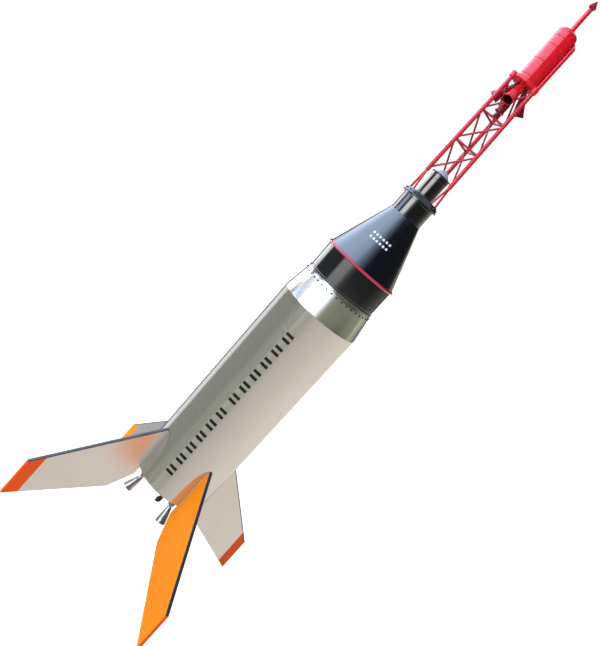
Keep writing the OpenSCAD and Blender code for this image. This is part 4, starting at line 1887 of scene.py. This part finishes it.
@dataclass
class Studio:
    """Camera, backdrop, reflections and lights.

    Attributes:
        eye: The camera's place, in metres.
        turn: The camera's rotation about X, Y and Z, in degrees.
        lens: Focal length, in millimetres.
        shift: Lens shift along the picture's sides.
        azimuth: Where the camera stands, in degrees from the front.
        middle: The point that the lights are turned to, in metres.
        box_size: Side of a soft box, in metres.
        floor_size: Side of the floor, in metres.
        floor_glow: Light that the floor adds to what the camera sees of it.
        floor_bounce: Light that it throws on the rocket.
        backdrop: Brightness of the white behind the rocket.
    """

    eye: Vector = field(default_factory=lambda: Vector((0.07112, -0.39484, 0.27880)))
    turn: tuple[float, float, float] = (72.642, -40.516, 21.299)
    lens: float = 35.836
    shift: Point = (0.0046, 0.0341)
    azimuth: float = 10.4
    middle: Vector = field(default_factory=lambda: Vector((0, 0, 0.22)))
    box_size: float = 0.7
    floor_size: float = 12.0
    floor_glow: float = 0.75
    floor_bounce: float = 0.1
    backdrop: float = 1.05

    def camera(self) -> None:
        """Places the camera."""
        data = bpy.data.cameras.new("camera")
        data.lens = self.lens
        data.shift_x, data.shift_y = self.shift
        data.clip_start = 0.01
        view = bpy.data.objects.new("camera", data)
        view.location = self.eye
        view.rotation_euler = [math.radians(angle) for angle in self.turn]
        bpy.context.scene.collection.objects.link(view)
        bpy.context.scene.camera = view

    def place(self, azimuth: float, elevation: float, distance: float) -> Vector:
        """Gives a point by the way to it from the rocket's middle.

        Args:
            azimuth: Degrees to the right of the camera's side.
            elevation: Degrees above level.
            distance: Metres from the rocket's middle.

        Returns:
            The point in metres.
        """
        turn = math.radians(azimuth + self.azimuth)
        rise = math.radians(elevation)
        level = distance * math.cos(rise)
        return self.middle + Vector(
            (level * math.sin(turn), -level * math.cos(turn), distance * math.sin(rise))
        )

    def light(self, name: str, place: tuple[float, float, float], radiance: float) -> None:
        """Hangs one soft box, turned to the rocket and seen neither directly nor mirrored.

        Args:
            name: The light's name.
            place: Azimuth, elevation and distance, as for place().
            radiance: How bright its face is.
        """
        data = bpy.data.lights.new(name, "AREA")
        data.shape = "RECTANGLE"
        data.size = data.size_y = self.box_size
        data.energy = radiance * self.box_size * self.box_size * math.pi
        lamp = bpy.data.objects.new(name, data)
        lamp.location = self.place(*place)
        aim = self.middle - lamp.location
        lamp.rotation_euler = aim.to_track_quat("-Z", "Y").to_euler()
        lamp.visible_camera = False
        lamp.visible_glossy = False
        bpy.context.scene.collection.objects.link(lamp)

    def lights(self) -> None:
        """Hangs the soft boxes."""
        self.light("front_key", (-25, 35, 1.4), 0.9)
        self.light("right_fill", (55, 18, 1.4), 1.5)
        self.light("back_fill", (195, 20, 1.4), 1.0)

    def floor(self) -> None:
        """Lays a wide pale floor that the glossy parts don't mirror."""
        Bench.deselect()
        bpy.ops.mesh.primitive_grid_add(x_subdivisions=4, y_subdivisions=4, size=self.floor_size)
        floor = Bench.named("floor")
        paper = bpy.data.materials.new("pale_floor")
        paper.use_nodes = True
        wiring = Wiring(paper.node_tree)
        rays = wiring.add("LightPath").outputs["Is Camera Ray"]
        feeds = {"Value": rays, "To Min": self.floor_bounce, "To Max": self.floor_glow}
        wiring.feed(paper.node_tree.nodes["Principled BSDF"], {
            "Base Color": (0.9, 0.9, 0.9, 1),
            "Roughness": 0.9,
            "Emission Color": (1, 1, 1, 1),
            "Emission Strength": wiring.add("MapRange", feeds).outputs["Result"],
        })
        floor.data.materials.append(paper)
        floor.visible_glossy = False

    def world(self) -> None:
        """Paints what the rocket mirrors all round, and keeps the backdrop white."""
        world = bpy.data.worlds.new("studio")
        world.use_nodes = True
        bpy.context.scene.world = world
        world.node_tree.nodes.clear()
        wiring = Wiring(world.node_tree)
        place = wiring.add("TexCoord").outputs["Generated"]
        way = wiring.add("SeparateXYZ", {0: place}).outputs
        share = self._azimuth_share(wiring, way["X"], way["Y"])
        colour = self._ramp(wiring, share, BANDS[0].cards)
        for lower, upper in zip(BANDS, BANDS[1:]):
            blend = wiring.eased(way["Z"], lower.height, upper.height)
            colour = wiring.mixed(blend, colour, self._ramp(wiring, share, upper.cards))
        mirrored = wiring.add("Background", {"Color": colour})
        white = wiring.add("Background", {"Color": (1, 1, 1, 1), "Strength": self.backdrop})
        rays = wiring.add("LightPath").outputs["Is Camera Ray"]
        final = wiring.add("MixShader", {0: rays, 1: mirrored.outputs[0], 2: white.outputs[0]})
        wiring.add("OutputWorld", {"Surface": final.outputs[0]})

    def _azimuth_share(self, wiring: Wiring, x: Socket, y: Socket) -> Socket:
        """Turns a direction into its place round the rocket.

        Args:
            wiring: The world's wiring.
            x: The direction's part along X.
            y: Its part along Y.

        Returns:
            0 to 1 for a full turn, with the camera's side at the middle.
        """
        angle = wiring.sum("ARCTAN2", x, wiring.sum("MULTIPLY", y, -1.0))
        start = 0.5 - self.azimuth / 360
        return wiring.sum("FRACT", wiring.sum("MULTIPLY_ADD", angle, 1 / FULL_TURN, start))

    @staticmethod
    def _ramp(wiring: Wiring, share: Socket, cards: Sequence[tuple[float, Colour]]) -> Socket:
        """Makes a colour ramp that goes round the rocket.

        Args:
            wiring: The world's wiring.
            share: The place round the rocket, from 0 to 1.
            cards: Degrees from the camera's side, and the colour there.

        Returns:
            The colour.
        """
        ramp = wiring.add("ValToRGB", {"Fac": share})
        stops = ramp.color_ramp.elements
        for index, (azimuth, colour) in enumerate(cards):
            spot = (azimuth + 180) / 360
            stop = stops[index] if index < 2 else stops.new(spot)
            stop.position = spot
            stop.color = (*colour, 1)
        return ramp.outputs["Color"]

    def build(self) -> None:
        """Sets up the whole studio."""
        self.camera()
        self.floor()
        self.world()
        self.lights()
        bpy.context.scene.view_settings.view_transform = "Standard"


def grey(level: float) -> Colour:
    """Gives a neutral colour of a brightness."""
    return (level, level, level)


def sky(level: float) -> Colour:
    """Gives the blue-white of open sky, at a brightness."""
    return (level * 0.76, level * 0.93, level * 1.27)


def stone(level: float) -> Colour:
    """Gives the warm beige of sunlit stone, at a brightness."""
    return (level * 1.08, level, level * 0.9)


def leaf(level: float) -> Colour:
    """Gives a dull olive green, at a brightness."""
    return (level * 1.02, level * 1.04, level * 0.82)


@dataclass(frozen=True)
class Band:
    """What surrounds the rocket at one height, as the paint and metal mirror it.

    Attributes:
        height: Sine of its height above level.
        cards: Degrees from the camera's side, and the colour there.
    """

    height: float
    cards: tuple[tuple[float, Colour], ...]


HORIZON_LOW = (
    (-180, grey(0.1)), (-151, grey(0.1)), (-144, grey(2.6)), (-118, grey(2.6)),
    (-112, grey(0.1)), (-56, grey(0.1)), (-48, grey(1.5)), (-24, grey(1.4)),
    (-12, grey(0.35)), (0, leaf(0.10)), (70, leaf(0.07)), (120, leaf(0.25)), (180, grey(0.1)),
)
HORIZON = (
    (-180, grey(0.1)), (-142, grey(0.1)), (-136, grey(3)), (-114, grey(3)),
    (-108, grey(0.1)), (-97, grey(0.1)), (-92, sky(2.6)), (-72, sky(2.6)),
    (-66, grey(0.1)), (-54, grey(0.1)), (-49, grey(5.5)), (-28, grey(5)),
    (-18, grey(0.6)), (-5, leaf(0.05)), (76, leaf(0.06)), (98, leaf(0.25)),
    (104, leaf(0.22)), (116, leaf(0.55)), (150, leaf(0.5)), (180, grey(0.1)),
)
HORIZON_HIGH = (
    (-180, grey(0.1)), (-150, grey(0.1)), (-142, grey(3)), (-100, grey(3)),
    (-94, grey(0.1)), (-68, grey(0.1)), (-61, grey(5)), (-24, grey(4.5)),
    (-12, grey(0.6)), (0, leaf(0.05)), (62, leaf(0.06)), (84, leaf(0.28)),
    (150, leaf(0.3)), (180, grey(0.1)),
)
BANDS = (
    Band(-0.15, (
        (-180, grey(0.12)), (-152, grey(0.14)), (-144, grey(1.0)), (-126, grey(0.95)),
        (-118, leaf(0.27)), (-62, leaf(0.25)), (-48, leaf(0.34)), (-34, leaf(0.34)),
        (-27, leaf(0.50)), (-18, leaf(0.44)), (-12, leaf(0.42)), (2, stone(0.58)),
        (20, stone(0.66)), (100, stone(0.90)), (172, stone(0.8)), (180, grey(0.12)),
    )),
    Band(-0.125, HORIZON_LOW),
    Band(-0.06, HORIZON_LOW),
    Band(0.02, HORIZON),
    Band(0.055, HORIZON),
    Band(0.07, HORIZON_HIGH),
    Band(0.105, HORIZON_HIGH),
    Band(0.13, (
        (-180, grey(0.15)), (-152, grey(0.15)), (-146, grey(1.4)), (-124, grey(1.4)),
        (-119, grey(0.4)), (-115, grey(0.4)), (-111, grey(1.4)), (-6, grey(1.5)),
        (4, leaf(0.36)), (30, leaf(0.29)), (98, leaf(0.28)), (150, leaf(0.4)),
        (180, grey(0.15)),
    )),
    Band(0.24, (
        (-180, grey(0.06)), (-157, grey(0.06)), (-149, sky(2.2)), (-125, sky(3.0)),
        (-12, sky(2.2)), (0, leaf(0.34)), (20, leaf(0.26)), (80, leaf(0.14)),
        (120, leaf(0.05)), (180, grey(0.06)),
    )),
    Band(0.33, (
        (-180, grey(0.04)), (-157, grey(0.04)), (-149, sky(2.0)), (-125, sky(3.2)),
        (-12, sky(2.6)), (0, leaf(0.05)), (40, leaf(0.02)), (180, grey(0.04)),
    )),
    Band(0.56, (
        (-180, grey(0.05)), (-120, sky(2.8)), (-60, sky(3.3)), (-30, sky(2.6)),
        (-8, sky(0.9)), (4, sky(0.4)), (16, sky(0.03)), (180, grey(0.04)),
    )),
    Band(0.90, ((-180, sky(0.5)), (180, sky(0.5)))),
)


# --------------------------------------------------------------------------------------- main


def main() -> None:
    """Loads the frame and builds every sub-assembly in order."""
    logging.basicConfig(level=logging.INFO, format="%(name)s: %(message)s")
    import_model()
    Studio().build()
    tower = EscapeTower("nose")
    assemblies = (
        Airframe("airframe"),
        Fins("airframe"),
        Tail("airframe"),
        Hook("hook"),
        Recovery("airframe"),
        Adapter("nose"),
        Capsule("nose"),
        tower,
        EscapeMotor("nose", tower=tower),
    )
    for assembly in assemblies:
        assembly.build()
        LOG.info("%s: %d new pieces", type(assembly).__name__, len(assembly.made))


if __name__ == "__main__":
    main()
